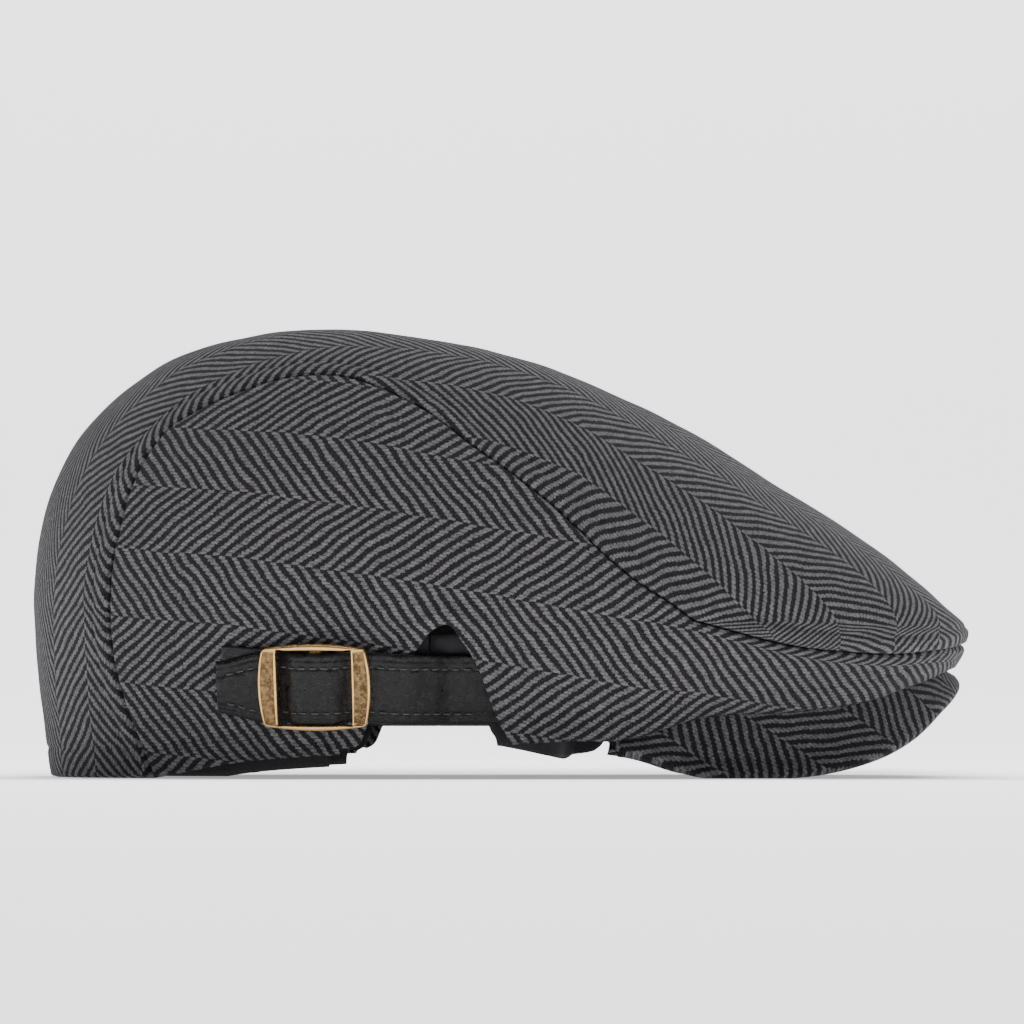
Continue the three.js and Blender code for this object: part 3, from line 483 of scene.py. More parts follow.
def flatten(points, middle_column=None, start=None):
    """The panel's flat coordinates, from coarse to fine."""
    rows, columns = points.shape[:2]
    column = columns // 2 if middle_column is None else middle_column
    flat = None if start is None else start[::10, ::10]
    for step, rounds in ((10, 500), (5, 300), (1, 40)):
        if (rows - 1) % step or (columns - 1) % step:
            continue
        part = points[::step, ::step]
        if flat is None:
            middle = column // step
            run = run_along(part[:, middle])
            gaps = np.linalg.norm(np.diff(part, axis=1), axis=-1)
            across = np.concatenate([np.zeros((len(part), 1)), np.cumsum(gaps, axis=1)], axis=1)
            flat = stack(run[:, None] + 0 * across, across - across[:, middle:middle + 1])
        elif flat.shape[:2] != part.shape[:2]:
            flat = enlarge(flat, part.shape[0], part.shape[1])
        pin = column // step if middle_column is not None else None
        flat = relax(part, flat, rounds, pin)
    return flat


def pixel(points):
    """Where points are in the photograph."""
    grow = CAMERA_AWAY / (CAMERA_AWAY + points[..., 1]) / MM_PER_PIXEL
    return stack(PIXEL_X + (points[..., 0] - CAMERA_X) * grow, PIXEL_Z - (points[..., 2] - CAMERA_Z) * grow)


def flat_at(points, flat, places):
    """The flat coordinates seen at places of the photograph, on the near side."""
    at = np.where(points[..., 1:2] < 0, pixel(points), np.inf).reshape(-1, 2)
    near = [int(np.argmin(((at - np.array(p)) ** 2).sum(1))) for p in places]
    return flat.reshape(-1, 2)[near]


def align(points, flat, line):
    """Turns flat coordinates until a line of the photograph runs along a column's edge."""
    found = flat_at(points, flat, line)
    run = np.polyfit(found[:, 0], found[:, 1], 1)
    angle = -math.atan(run[0])
    turn = np.array([[math.cos(angle), -math.sin(angle)], [math.sin(angle), math.cos(angle)]])
    flat = flat @ turn.T
    flat[..., 1] -= (found @ turn.T)[:, 1].mean()
    return flat


# Materials
class Shading:
    """One material's nodes. A value is a number, a colour or another node's output."""

    def __init__(self, name):
        self.material = bpy.data.materials.new(name)
        self.material.use_nodes = True
        self.tree = self.material.node_tree
        self.tree.nodes.clear()
        output = self.tree.nodes.new("ShaderNodeOutputMaterial")
        self.shader = self.tree.nodes.new("ShaderNodeBsdfPrincipled")
        self.tree.links.new(self.shader.outputs[0], output.inputs["Surface"])

    def put(self, inputs, node=None):
        """Sets or links inputs of a node, or of the surface where none is named."""
        for name, value in inputs.items():
            socket = (node or self.shader).inputs[name]
            if hasattr(value, "is_output"):
                self.tree.links.new(value, socket)
            else:
                socket.default_value = value

    def node(self, kind, inputs, **settings):
        made = self.tree.nodes.new("ShaderNode" + kind)
        for name, value in settings.items():
            setattr(made, name, value)
        self.put(inputs, made)
        return made.outputs

    def calc(self, operation, *values):
        return self.node("Math", dict(enumerate(values)), operation=operation)[0]

    def times(self, a, b):
        return self.calc("MULTIPLY", a, b)

    def plus(self, a, b):
        return self.calc("ADD", a, b)

    def minus(self, a, b):
        return self.calc("SUBTRACT", a, b)

    def times_plus(self, a, b, c):
        return self.calc("MULTIPLY_ADD", a, b, c)

    def place(self):
        return self.node("TexCoord", {})["Object"]

    def noise(self, where, scale, detail=2.0, rough=0.5):
        inputs = {"Scale": scale, "Detail": detail, "Roughness": rough, "Vector": where}
        return self.node("TexNoise", inputs)["Fac"]

    def between(self, value, low, high, to_low=0.0, to_high=1.0):
        """A soft step from one number to another while the value goes from low to high."""
        inputs = {"From Min": low, "From Max": high, "To Min": to_low, "To Max": to_high, "Value": value}
        return self.node("MapRange", inputs, interpolation_type="SMOOTHSTEP")["Result"]

    def blend(self, share, a, b):
        return self.node("Mix", {"Factor": share, 6: a, 7: b}, data_type="RGBA")[2]

    def bump(self, height, distance, strength):
        inputs = {"Strength": strength, "Distance": distance, "Height": height}
        self.put({"Normal": self.node("Bump", inputs)[0]})


YARN_ALONG, YARN_ACROSS, YARNS_IN_COLUMN = 1.0, 0.955, 20.0
LIGHT_WOOL, PALE_WOOL = (0.27, 0.265, 0.275, 1), (0.78, 0.77, 0.78, 1)
DARK_WOOL, BROWN_WOOL = (0.015, 0.0145, 0.018, 1), (0.022, 0.016, 0.018, 1)
SHEEN_WOOL = (0.6, 0.58, 0.62, 1)
DARK_CLOTH, LIGHT_CLOTH = (0.008, 0.008, 0.01, 1), (0.032, 0.031, 0.036, 1)
DARK_LEATHER, LIGHT_LEATHER = (0.0015, 0.0015, 0.002, 1), (0.008, 0.008, 0.009, 1)
DARK_THREAD, LIGHT_THREAD = (0.02, 0.02, 0.022, 1), (0.12, 0.12, 0.125, 1)
BRIGHT_BRASS, STAINED_BRASS = (0.66, 0.41, 0.16, 1), (0.36, 0.22, 0.08, 1)
AGED_BRASS, DARK_BRASS = (0.3, 0.19, 0.085, 1), (0.1, 0.065, 0.034, 1)
# Scale and amount, in mm, of the yarns' wandering
WANDER_ALONG = ((0.07, 1.6), (0.45, 0.35), (2.1, 0.55))
WANDER_ACROSS = ((0.07, 0.8), (0.45, 0.25), (2.1, 0.35))


def wandering(m, where, amounts):
    """Noise from minus to plus the sum of the amounts, at several scales."""
    total = None
    for scale, size in amounts:
        part = m.times(m.minus(m.noise(where, scale, 1.0), 0.5), 2 * size)
        total = part if total is None else m.plus(total, part)
    return total


def herringbone(name):
    """A two-and-two twill that turns every 20 yarns, in the cloth's own coordinates in mm."""
    m = Shading(name)
    uv = m.node("UVMap", {}, uv_map="cloth")[0]
    where = m.node("VectorMath", {"Scale": UV_SIZE, 0: uv}, operation="SCALE")[0]
    split = m.node("SeparateXYZ", {0: where})
    moved = m.node("VectorMath", {0: where, 1: (31.7, 12.3, 5.1)}, operation="ADD")[0]
    shift_along = wandering(m, where, WANDER_ALONG)
    shift_across = wandering(m, moved, WANDER_ACROSS)
    along = m.calc("DIVIDE", m.plus(split[0], shift_along), YARN_ALONG)
    across = m.calc("DIVIDE", m.plus(split[1], shift_across), YARN_ACROSS)
    yarn = m.calc("FLOOR", across)
    in_yarn = m.minus(across, yarn)
    column = m.calc("FLOOR", m.calc("DIVIDE", across, YARNS_IN_COLUMN))
    odd = m.calc("FLOORED_MODULO", m.plus(column, 1.0), 2.0)
    sign = m.times_plus(odd, -2.0, 1.0)
    slanted = m.times_plus(in_yarn, 0.6, m.plus(yarn, 0.2))
    step = m.times_plus(sign, slanted, m.times(odd, 2.0))
    wave = m.calc("SINE", m.times(m.plus(along, step), math.pi / 2))
    light = m.between(wave, -0.35, 0.45)
    arch = m.calc("MAXIMUM", m.calc("SINE", m.times(in_yarn, math.pi)), 0.0)
    round_yarn = m.calc("POWER", arch, 0.5)
    stretched = m.node("Mapping", {"Scale": (1.3, 4.6, 1.0), "Vector": where})[0]
    fibre = m.noise(stretched, 1.0, 3.0, 0.6)
    hair = m.noise(where, 3.4, 3.0, 0.75)
    patch = m.noise(where, 0.4)
    # The light yarns are darker towards their edges: painted shade between the yarns, on top of the fibres'
    # own streaks and patchy tone
    yarn_tone_and_edge_shade = m.times(m.between(fibre, 0.3, 0.62, 0.2, 1.0), m.between(round_yarn, 0.2, 0.9, 0.4, 1.0))
    yarn_tone_and_edge_shade = m.times(yarn_tone_and_edge_shade, m.between(patch, 0.3, 0.7, 0.75, 1.1))
    stray = m.times(m.between(hair, 0.52, 0.72), 0.36)
    share = m.calc("MAXIMUM", m.times(light, yarn_tone_and_edge_shade), stray)
    brown = m.between(m.noise(where, 0.25), 0.45, 0.75, 0.0, 0.7)
    dark = m.blend(brown, DARK_WOOL, BROWN_WOOL)
    pale = m.blend(m.between(hair, 0.55, 0.8, 0.0, 0.8), LIGHT_WOOL, PALE_WOOL)
    m.put({"Base Color": m.blend(share, dark, pale), "Roughness": 0.95, "Specular IOR Level": 0.1,
           "Sheen Weight": 0.09, "Sheen Roughness": 0.5, "Sheen Tint": SHEEN_WOOL})
    height = m.times_plus(light, 0.6, m.times(round_yarn, 0.45))
    height = m.times_plus(fibre, 0.6, m.times_plus(hair, 0.9, height))
    m.bump(height, 0.0004, 0.9)
    return m.material


def black_cloth(name):
    m = Shading(name)
    where = m.place()
    rib = m.node("TexWave", {"Scale": 480.0, "Distortion": 1.2, "Detail": 1.0, "Vector": where},
                 wave_type="BANDS", bands_direction="DIAGONAL")["Fac"]
    share = m.times_plus(rib, 0.5, m.times(m.noise(where, 1800.0), 0.6))
    mottled = m.times(share, m.noise(where, 160.0, 3.0))
    m.put({"Base Color": m.blend(mottled, DARK_CLOTH, LIGHT_CLOTH), "Roughness": 0.8, "Sheen Weight": 0.15})
    m.bump(share, 0.00015, 0.6)
    return m.material


def leather(name):
    m = Shading(name)
    where = m.place()
    cells = m.node("TexVoronoi", {"Scale": 1700.0, "Vector": where}, feature="DISTANCE_TO_EDGE")
    groove = m.between(cells["Distance"], 0.0, 0.16)
    crease = m.noise(where, 520.0, 3.0, 0.6)
    # Darker in the grain's grooves: painted shade in the grooves, over a mottled tone of the grain itself
    shade = m.times(groove, m.noise(where, 60.0, 3.0))
    m.put({"Base Color": m.blend(shade, DARK_LEATHER, LIGHT_LEATHER),
           "Roughness": m.between(crease, 0.3, 0.7, 0.2, 0.42), "Specular IOR Level": 0.3})
    m.bump(m.times_plus(groove, 0.3, m.times(crease, 1.6)), 0.0003, 0.5)
    return m.material


def thread(name):
    m = Shading(name)
    twist = m.noise(m.place(), 2200.0)
    m.put({"Base Color": m.blend(twist, DARK_THREAD, LIGHT_THREAD), "Roughness": 0.5})
    m.bump(twist, 0.0001, 0.5)
    return m.material


def brass(name, aged):
    m = Shading(name)
    where = m.place()
    speck = m.noise(where, 900.0, 5.0, 0.75)
    stain = m.noise(where, 150.0, 4.0, 0.6)
    if aged:
        amount = m.times(m.between(speck, 0.36, 0.6), m.between(stain, 0.3, 0.62, 0.45, 1.0))
        colour = m.blend(amount, AGED_BRASS, DARK_BRASS)
        rough = m.between(speck, 0.3, 0.7, 0.42, 0.62)
    else:
        colour = m.blend(m.between(stain, 0.52, 0.75, 0.0, 0.55), BRIGHT_BRASS, STAINED_BRASS)
        rough = m.between(m.noise(where, 420.0), 0.3, 0.7, 0.24, 0.38)
    m.put({"Base Color": colour, "Roughness": rough, "Metallic": 1.0})
    m.bump(speck, 0.00006 if aged else 0.00002, 0.8)
    return m.material


WOOL = herringbone("herringbone_wool")
BLACK_CLOTH = black_cloth("black_cloth")
LEATHER = leather("black_leather")
THREAD = thread("black_thread")
BRASS = brass("antique_brass", False)
BRASS_AGED = brass("antique_brass_aged", True)


def mirrored(piece, name):
    mesh = piece.data.copy()
    mesh.transform(Matrix.Scale(-1, 4, Vector((0, 1, 0))))
    mesh.flip_normals()
    return add_object(name, mesh)


def place(piece, slot, *nodes):
    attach(piece, ROOT)
    if nodes:
        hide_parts(*nodes)
    return piece


def surface(points):
    a, b = points[1:, 1:] - points[:-1, :-1], points[1:, :-1] - points[:-1, 1:]
    return float(np.linalg.norm(np.cross(a, b), axis=-1).sum() / 2)


def declare(base, flat, hole=0.0):
    """Works out the size of the flat cloth that a piece's grid came from, and its area less a hole; the
    values are not used.
    """
    width, length = float(np.ptp(flat[..., 1])) * MM, float(np.ptp(flat[..., 0])) * MM
    area = min((surface(base) - hole) * MM**2, width * length)


def place_pair(piece, stem, slot, node=None):
    twin = mirrored(piece, stem + "_left")
    place(piece, slot, *([node + "_right"] if node else []))
    place(twin, slot, *([node + "_left"] if node else []))
    return [piece, twin]


# Camera
def add_camera():
    data = bpy.data.cameras.new("camera")
    data.sensor_width = 36
    data.lens = LENS
    data.clip_start = 0.05
    camera = add_object("camera", data)
    aim(camera, Vector((CAMERA_X, -CAMERA_AWAY, CAMERA_Z)) * MM, Vector((CAMERA_X, 0, CAMERA_AIM)) * MM)
    scene.camera = camera


add_camera()


# Crown
def crown_detail(points, seams, hem):
    """Height of the sewn edges over a panel's smooth face."""
    rise = np.zeros(points.shape[:-1])
    for line, welt in seams:
        gap, run = edge_distance(points, line)
        pucker = np.sin(run * 2 * np.pi / 7.3 + 1.7 * np.sin(run / 19)) * (0.6 + 0.4 * np.sin(run / 31))
        rise -= roll(gap, SEAM_ROLL)
        if welt:
            rise += 0.35 * dip(gap, *WELT) - 0.42 * dip(gap, *WELT_GROOVE) * (1 + 0.35 * pucker)
            rise += 0.16 * pucker * dip(gap, *WELT_PUCKER)
        else:
            rise += 0.14 * pucker * dip(gap, *PLAIN_PUCKER)
    gap, run = edge_distance(points, hem)
    uneven = 0.5 * np.sin(run / 17) + 0.4 * np.sin(run / 7.7)
    rise -= roll(gap, HEM_ROLL)
    rise += 0.2 * dip(gap, *HEM_SWELL) - 0.38 * dip(gap, HEM_GROOVE[0] + 0.5 * uneven, HEM_GROOVE[1])
    return rise


def relief(points, out, rise, foot=CLOTH_FOOT):
    """Points moved outwards by a height, and kept over the table."""
    moved = points + out * rise[..., None]
    moved[..., 2] = np.maximum(moved[..., 2], foot)
    return moved


def cloth_grids(disc):
    a, b = disc[..., 0], disc[..., 1]
    outer = crown(a, b)
    out = normals(crown, a, b)
    inner = outer - out * CLOTH
    level = np.hypot(a, b)
    inner[..., 2] = np.where(level > 1.999, outer[..., 2], inner[..., 2])
    return outer, inner, out


def laid_lengthwise(disc, steps=40):
    """Flat coordinates of cloth laid along the crown's middle line and smoothed down to its sides."""
    a, b = disc[..., 0], disc[..., 1]
    line = np.linspace(-2, 1.5, 1401)
    run = run_along(crown(line, 0 * line))
    across = np.zeros(a.shape)
    last = crown(a, 0 * b)
    for k in range(1, steps + 1):
        point = crown(a, b * k / steps)
        across += np.linalg.norm(point - last, axis=-1)
        last = point
    return stack(np.interp(a, line, run), np.sign(b) * across)


def top_panel():
    u, v = spread(TOP_STEPS[0], 0.5), spread(TOP_STEPS[1], 0.6)
    end = seam_disc(0, 1, 1)[0]
    hem_spread = math.pi - math.atan2(end[1], end[0])
    back = polar(math.pi - (2 * v - 1) * hem_spread, 2.0)
    sides = []
    for side in (-1, 1):
        line = seam_disc(u * SEAM_CORNER, side, 1)
        line[0] = polar(side * (math.pi - hem_spread), 2.0)
        sides.append(line)
    off = np.abs(2 * v - 1)
    along = mix(1, SEAM_CORNER, off)
    front = np.where((v < 0.5)[:, None], seam_disc(along, -1, 1), seam_disc(along, 1, 1))
    disc = coons(back, front, sides[0], sides[1], u, v)
    outer, inner, out = cloth_grids(disc)
    laid = laid_lengthwise(disc)
    flat = mix(flatten(outer, TOP_STEPS[1] // 2, laid), laid, smooth((disc[..., :1] + 0.9) / 0.9))
    seam = np.concatenate([outer[:, 0], outer[-1, 1:], outer[::-1, -1][1:]])
    rise = crown_detail(outer, [(seam, True)], outer[0])
    rise += 0.45 * waves(outer, 55, 3) + 0.15 * waves(outer, 17, 4)
    return relief(outer, out, rise), inner, flat, outer


def slot_curve(front=0.0, top=0.0, limit=SLOT_HEIGHT, back=0.0):
    rows = np.column_stack([np.arange(len(SLOT_OUTLINE)), SLOT_OUTLINE])
    t = np.linspace(0, len(rows) - 1, 217)
    x = SLOT_MIDDLE - front / 2 + read(rows, 1, t) * (SLOT_WIDTH - front)
    x -= back * smooth((SLOT_MIDDLE - x) / (SLOT_WIDTH / 4))
    return x, np.minimum(read(rows, 2, t) * (SLOT_HEIGHT - top), limit)


def side_panel():
    u, v = spread(SIDE_STEPS[0], 0.3), spread(SIDE_STEPS[1], 0.4)

    def in_turns(disc):
        return stack(np.abs(np.arctan2(disc[..., 1], disc[..., 0])), np.hypot(disc[..., 0], disc[..., 1]))

    def seam(along):
        return in_turns(seam_disc(along, -1, -1))

    foot = seam(0)[0][0]
    back = seam(v * SEAM_BEND)
    back[0] = (foot, 2)
    top = seam(mix(SEAM_BEND, 1, u))
    top[-1] = (FRONT_SEAM_TURN, top[-1][1])
    front = stack(FRONT_SEAM_TURN + 0 * v, mix(2, top[-1][1], v))
    hem = stack(mix(foot, FRONT_SEAM_TURN, u), 2.0)
    turns = coons(back, front, hem, top, u, v)
    disc = polar(-turns[..., 0], turns[..., 1])
    outer, inner, out = cloth_grids(disc)
    flat = flatten(outer)
    seam_line = np.concatenate([outer[0], outer[1:, -1]])
    rise = crown_detail(outer, [(seam_line, False), (outer[-1], False)], outer[:, 0])
    x, z = slot_curve()
    line = np.column_stack([x, 0 * x, z])
    wall = outer * np.array([1, 0, 1])
    gap, run = edge_distance(wall, line)
    facing = 0.4 * dip(gap, *FACING_SWELL) - roll(gap, FACING_ROLL) - 0.8 * dip(gap, *FACING_GROOVE)
    rise += np.where(outer[..., 2] < 75, facing, 0)
    # The cloth lies flatter under the strap, the tab and the buckle
    under = smooth((outer[..., 0] + 92) / 8) * smooth((24 - outer[..., 0]) / 14)
    under *= smooth((46 - outer[..., 2]) / 8) * smooth((outer[..., 2] - 6) / 6)
    ripple = 0.55 * waves(outer, 48, 11) + 0.18 * waves(outer, 16, 12)
    rise += mix(ripple, -0.25 + 0.15 * ripple, under)
    rise = np.where(under > 0.5, np.minimum(rise, 0.0), rise)
    return relief(outer, out, rise), inner, flat, outer


def cut(piece, x, z, low, high):
    """Cuts the hole with that outline through the piece, between two depths."""
    points = np.concatenate([np.column_stack([x, 0 * x + depth, z]) for depth in (low, high)])
    tool = fix_normals(make_object("cutter", points, tube_faces(0, 2, len(x))))
    change = piece.modifiers.new("slot", "BOOLEAN")
    change.operation, change.solver, change.object = "DIFFERENCE", "EXACT", tool
    done = bpy.data.meshes.new_from_object(piece.evaluated_get(bpy.context.evaluated_depsgraph_get()))
    piece.modifiers.clear()
    old = piece.data
    piece.data = done
    done.name = old.name
    bpy.data.meshes.remove(old)
    bpy.data.objects.remove(tool)
    done.polygons.foreach_set("use_smooth", [True] * len(done.polygons))


face, inner, flat, base = top_panel()
found = flat_at(base, flat, TOP_COLUMN)
middle, slope = found[:, 0].mean(), np.polyfit(found[:, 0], found[:, 1], 1)[0]
turned = slope * (np.clip(flat[..., 0], found[:, 0].min(), found[:, 0].max()) - middle)
flat[..., 1] += np.sign(flat[..., 1]) * turned * smooth(np.abs(flat[..., 1]) / 30)
flat[..., 1] -= flat_at(base, flat, TOP_COLUMN)[:, 1].mean()
top_piece = sheet_object("crown_top_panel_cloth", face, inner, flat, WOOL)
place(top_piece, "herringbone_wool", "crown_top_panel")
declare(base, flat)

face, inner, flat, base = side_panel()
flat = align(base, flat, SIDE_COLUMN)
side_piece = sheet_object("side_panel_cloth_right", face, inner, flat, WOOL)
x, z = slot_curve()
cut(side_piece, x, z, -CUT_FAR, -CUT_NEAR)
sides = place_pair(side_piece, "side_panel_cloth", "herringbone_wool", "side_panel")
hole = abs(float(np.sum((z[1:] + z[:-1]) / 2 * np.diff(x)))) - SLOT_WIDTH * SLOT_HEM
declare(base, flat, hole)


# Peak
def peak_top(w, r):
    sweep = np.abs(w)
    turn, inner_turn = w * math.radians(PEAK_SWEEP), w * math.radians(PEAK_INNER_SWEEP)
    foot = CLOTH + LINING_EASE + LINING
    ix, iy = plan_point(HEAD, inner_turn, 1)
    inx, iny = plan_normal(HEAD, inner_turn)
    inner = stack(ix - inx * foot, iy - iny * foot, peak_inner_height(sweep))
    nx, ny = plan_normal(CROWN, turn)
    fold = wall_point(CROWN, turn, edge_height(turn)) + stack(-nx * CLOTH, -ny * CLOTH, -LAYER_GAP)
    x, y = plan_point(CROWN, turn, 1)
    inset = PEAK_INSET * read(PEAK_EDGE, 1, sweep)
    edge = stack(x - nx * inset, y - ny * inset, PEAK_TIP_HEIGHT * read(PEAK_EDGE, 2, sweep))
    share = PEAK_SHARE_UNDER_CROWN
    t = np.minimum(r / share, 1)[..., None]
    reach = np.linalg.norm(fold - inner, axis=-1, keepdims=True)
    lift = PEAK_CROWNING * reach * np.sin(np.pi * t) * np.array([0, 0, 1.0])
    beyond = np.maximum((r - share) / (1 - share), 0)[..., None]
    return mix(mix(inner, fold, t) + lift, edge, beyond)


def peak_piece():
    w = 2 * spread(PEAK_STEPS[0], 0.4) - 1
    share = PEAK_SHARE_UNDER_CROWN
    r = np.concatenate([np.linspace(0, share, 31), share + (1 - share) * spread(PEAK_STEPS[1], 0.3)[1:]])
    r, w = np.meshgrid(r, w, indexing="ij")
    top = peak_top(w, r)
    d = 0.01
    along = peak_top(np.minimum(1, w + d), r) - peak_top(np.maximum(-1, w - d), r)
    across = peak_top(w, np.minimum(1, r + d)) - peak_top(w, np.maximum(0, r - d))
    up = unit(np.cross(across, along))
    up = np.where(up[..., 2:] < 0, -up, up)
    bottom = relief(top, -up, np.full(r.shape, PEAK_THICKNESS))
    flat = flatten(top, PEAK_STEPS[0] // 2)
    gap, run = edge_distance(top, top[-1])
    rise = -roll(gap, SEAM_ROLL) - 0.2 * dip(gap, *PEAK_GROOVE) + 0.2 * waves(top, 30, 21)
    rise = np.where(r <= share, np.minimum(rise, 0), rise)
    return relief(top, up, rise, PEAK_FOOT), bottom, flat, top


face, inner, flat, base = peak_piece()
flat[..., 1] *= -1
flat[..., 1] -= flat_at(base, flat, PEAK_COLUMN)[:, 1].mean()
peak = sheet_object("peak_cloth", face, inner, flat, WOOL)
place(peak, "herringbone_wool", "peak")
declare(base, flat)


# Lining and sweatband
def lining_piece():
    turn = (np.arange(160) + 0.5) / 160 * 2 * np.pi
    level = np.linspace(0.03, 2, 70)
    turn, level = np.meshgrid(turn, level)
    a, b = level * np.cos(turn), level * np.sin(turn)
    base, out = head(a, b), normals(head, a, b)
    outer = base - out * (CLOTH + LINING_EASE)
    inner = outer - out * LINING
    outer[-1, :, 2] = inner[-1, :, 2] = base[-1, :, 2]
    fold = 0.5 * waves(base, 40, 31) + 0.25 * waves(base, 14, 32)
    fold *= smooth((level - 0.1) / 0.2) * smooth((1.9 - level) / 0.2)
    inner = inner - out * np.maximum(fold, -0.2)[..., None]
    flat = stack(turn * 60, level * 90)
    rows, columns = outer.shape[:2]
    points = np.concatenate([outer.reshape(-1, 3), inner.reshape(-1, 3)])
    faces = [list(f) for f in sheet_faces(rows, columns, True)]
    first = rows * columns
    beside = [(j, (j + 1) % columns) for j in range(columns)]
    rim = {tuple(sorted((j, k, j + first, k + first))) for j, k in beside}
    faces = [f for f in faces if tuple(sorted(f)) not in rim]
    faces += [list(range(columns))[::-1], [first + j for j in range(columns)]]
    uv = np.concatenate([flat.reshape(-1, 2)] * 2)
    run = np.linalg.norm(np.diff(outer, axis=0), axis=-1).sum(0)
    size = np.array([[0, 0], [run[0] + run[columns // 2], run[columns // 4] * 2]])
    closed = np.concatenate([outer, outer[:, :1]], axis=1)
    return fix_normals(make_object("lining_cloth", points, faces, uv, [BLACK_CLOTH])), closed, size


lining, base, flat = lining_piece()
x, z = slot_curve(*LINING_SLOT)
for low, high in ((-CUT_FAR, -CUT_NEAR), (CUT_NEAR, CUT_FAR)):
    cut(lining, x, z, low, high)
place(lining, "black_cloth", "lining")
declare(base, flat)


def band_foot(turn):
    size = np.abs(np.where(turn > np.pi, 2 * np.pi - turn, turn))
    sweep = np.minimum(1, size / math.radians(PEAK_INNER_SWEEP))
    on_hem = np.maximum(edge_beside(size) - BAND_DROP, LAYER_GAP * 2)
    foot = from_peak_to_hem(size, peak_inner_height(sweep) - PEAK_THICKNESS, on_hem)
    x = plan_point(HEAD, size, 1)[0]
    return foot, mix(foot, read(BAND_EDGE, 1, x), smooth((x + 4) / 3) * smooth((46 - x) / 8))


def band_piece(name, start, end, columns):
    turn, up = np.meshgrid(np.linspace(start, end, columns + 1), np.linspace(0, 1, 25))
    sewn, foot = band_foot(turn)
    z = foot + up * BAND_HEIGHT
    wall = wall_point(HEAD, turn, np.maximum(z, sewn))
    wall[..., 2] = z
    nx, ny = plan_normal(HEAD, turn)
    into = stack(-nx, -ny, 0)
    depth = (CLOTH + LINING_EASE + LINING + BAND_EASE
             + read(BAND_DEPTH, 1, up, True) * (STRAP_THICKNESS + LAYER_GAP + BAND_EASE / 2))
    gap = np.minimum(up, 1 - up) * BAND_HEIGHT
    ease = roll(gap, 0.5)
    outer = wall + into * (depth + ease)[..., None]
    inner = wall + into * (depth + BAND - ease + 0.25 * dip(gap, 2.6, 1.4))[..., None]
    flat = stack(turn * 80, up * BAND_HEIGHT)
    piece = sheet_object(name, outer, inner, flat, BLACK_CLOTH)
    x, z = slot_curve(*BAND_SLOT)
    for low, high in ((-CUT_FAR, -CUT_NEAR_BAND), (CUT_NEAR_BAND, CUT_FAR)):
        cut(piece, x, z, low, high)
    run = run_along(outer[12])
    size = np.stack([stack(run, 0), stack(run, BAND_HEIGHT)])
    return piece, outer, size


SLOT_TURN = math.acos(SLOT_MIDDLE / HALF_LENGTH)
BAND_START = SLOT_TURN + SEAM_GAP / HALF_WIDTH
for name, start, end in (("front", -SLOT_TURN, SLOT_TURN), ("back", BAND_START, 2 * math.pi - BAND_START)):
    band, base, flat = band_piece("sweatband_" + name + "_cloth", start, end, 180)
    place(band, "black_cloth", "sweatband_" + name)
    declare(base, flat)


# Straps, tabs and buckles
TURNS = np.linspace(1e-4, math.pi - 1e-4, 4001)
WALL_X = wall_point(HEAD, TURNS, STRAP_HEIGHT + 0 * TURNS)[:, 0]


def on_wall(x, up, lift):
    """A point of the right side's wall, or off it."""
    x, up, lift = np.broadcast_arrays(x, up, lift)
    turn = -np.interp(-x, -WALL_X, TURNS)
    d = TINY
    middle = STRAP_HEIGHT + 0 * x
    base = wall_point(HEAD, turn, middle)
    rise = unit(wall_point(HEAD, turn, middle + d) - wall_point(HEAD, turn, middle - d))
    along = wall_point(HEAD, turn + d, middle) - wall_point(HEAD, turn - d, middle)
    out = unit(np.cross(along, rise))
    return base + rise * up[..., None] + out * lift[..., None]


TAB_LIFT = LAYER_GAP
STRAP_LIFT = BAR_LIFT = TAB_LIFT + TAB_THICKNESS + LAYER_GAP
FRAME_LIFT = STRAP_LIFT + STRAP_THICKNESS + LAYER_GAP
LOOP_LIFT = BAR_LIFT + MIDDLE_BAR_THICKNESS + LAYER_GAP
HUMP_LIFT = LOOP_LIFT + TAB_THICKNESS + LAYER_GAP
LOOP_RADIUS = (LOOP_LIFT + TAB_THICKNESS - TAB_LIFT) / 2
INSIDE_LIFT = -(CLOTH + LINING_EASE + LINING + BAND_EASE + STRAP_THICKNESS)


def slot_edge(along):
    return SLOT_MIDDLE + along * SLOT_WIDTH


STRAP_FRONT = slot_edge(0.5) + STRAP_SEWN
STRAP_END = STRAP_FRONT - STRAP_LENGTH
SIDE_BAR = (BUCKLE_LENGTH - WINDOW_LENGTH) / 2
BARS = (BUCKLE_LENGTH - SIDE_BAR) / 2
BESIDE = SIDE_BAR / 2 + LAYER_GAP
HUMP = MIDDLE_BAR / 2 + LOOP_RADIUS + LAYER_GAP
AHEAD, BEHIND = BUCKLE_MIDDLE + BARS, BUCKLE_MIDDLE - BARS
# x, lift off the wall, drop
STRAP_PATH = np.array([
    [STRAP_FRONT, INSIDE_LIFT, STRAP_DROP], [slot_edge(0.45), INSIDE_LIFT, STRAP_DROP],
    [slot_edge(0.15), INSIDE_LIFT, STRAP_DROP], [slot_edge(0.02), INSIDE_LIFT / 2, STRAP_DROP * 0.7],
    [slot_edge(-0.12), LAYER_GAP, STRAP_DROP * 0.4], [slot_edge(-0.25), STRAP_LIFT, STRAP_DROP * 0.2],
    [AHEAD + BESIDE, STRAP_LIFT, 0], [AHEAD - BESIDE, STRAP_LIFT, 0],
    [BUCKLE_MIDDLE + HUMP, HUMP_LIFT, 0], [BUCKLE_MIDDLE - HUMP, HUMP_LIFT, 0],
    [BEHIND + BESIDE, STRAP_LIFT, 0], [BEHIND - BESIDE, STRAP_LIFT, 0],
    [mix(BEHIND, STRAP_END, 0.5), STRAP_LIFT, 0], [STRAP_END, STRAP_LIFT, 0]])[::-1]


STITCH_INSETS, STITCH_START = (3.2, 4.2), 0.5
# along, fat, high
STITCH_SHAPE = np.array([
    [0, 0.25, -0.7], [0.12, 0.8, 0], [0.35, 1, 0.35], [0.65, 1, 0.35], [0.88, 0.8, 0], [1, 0.25, -0.7]])


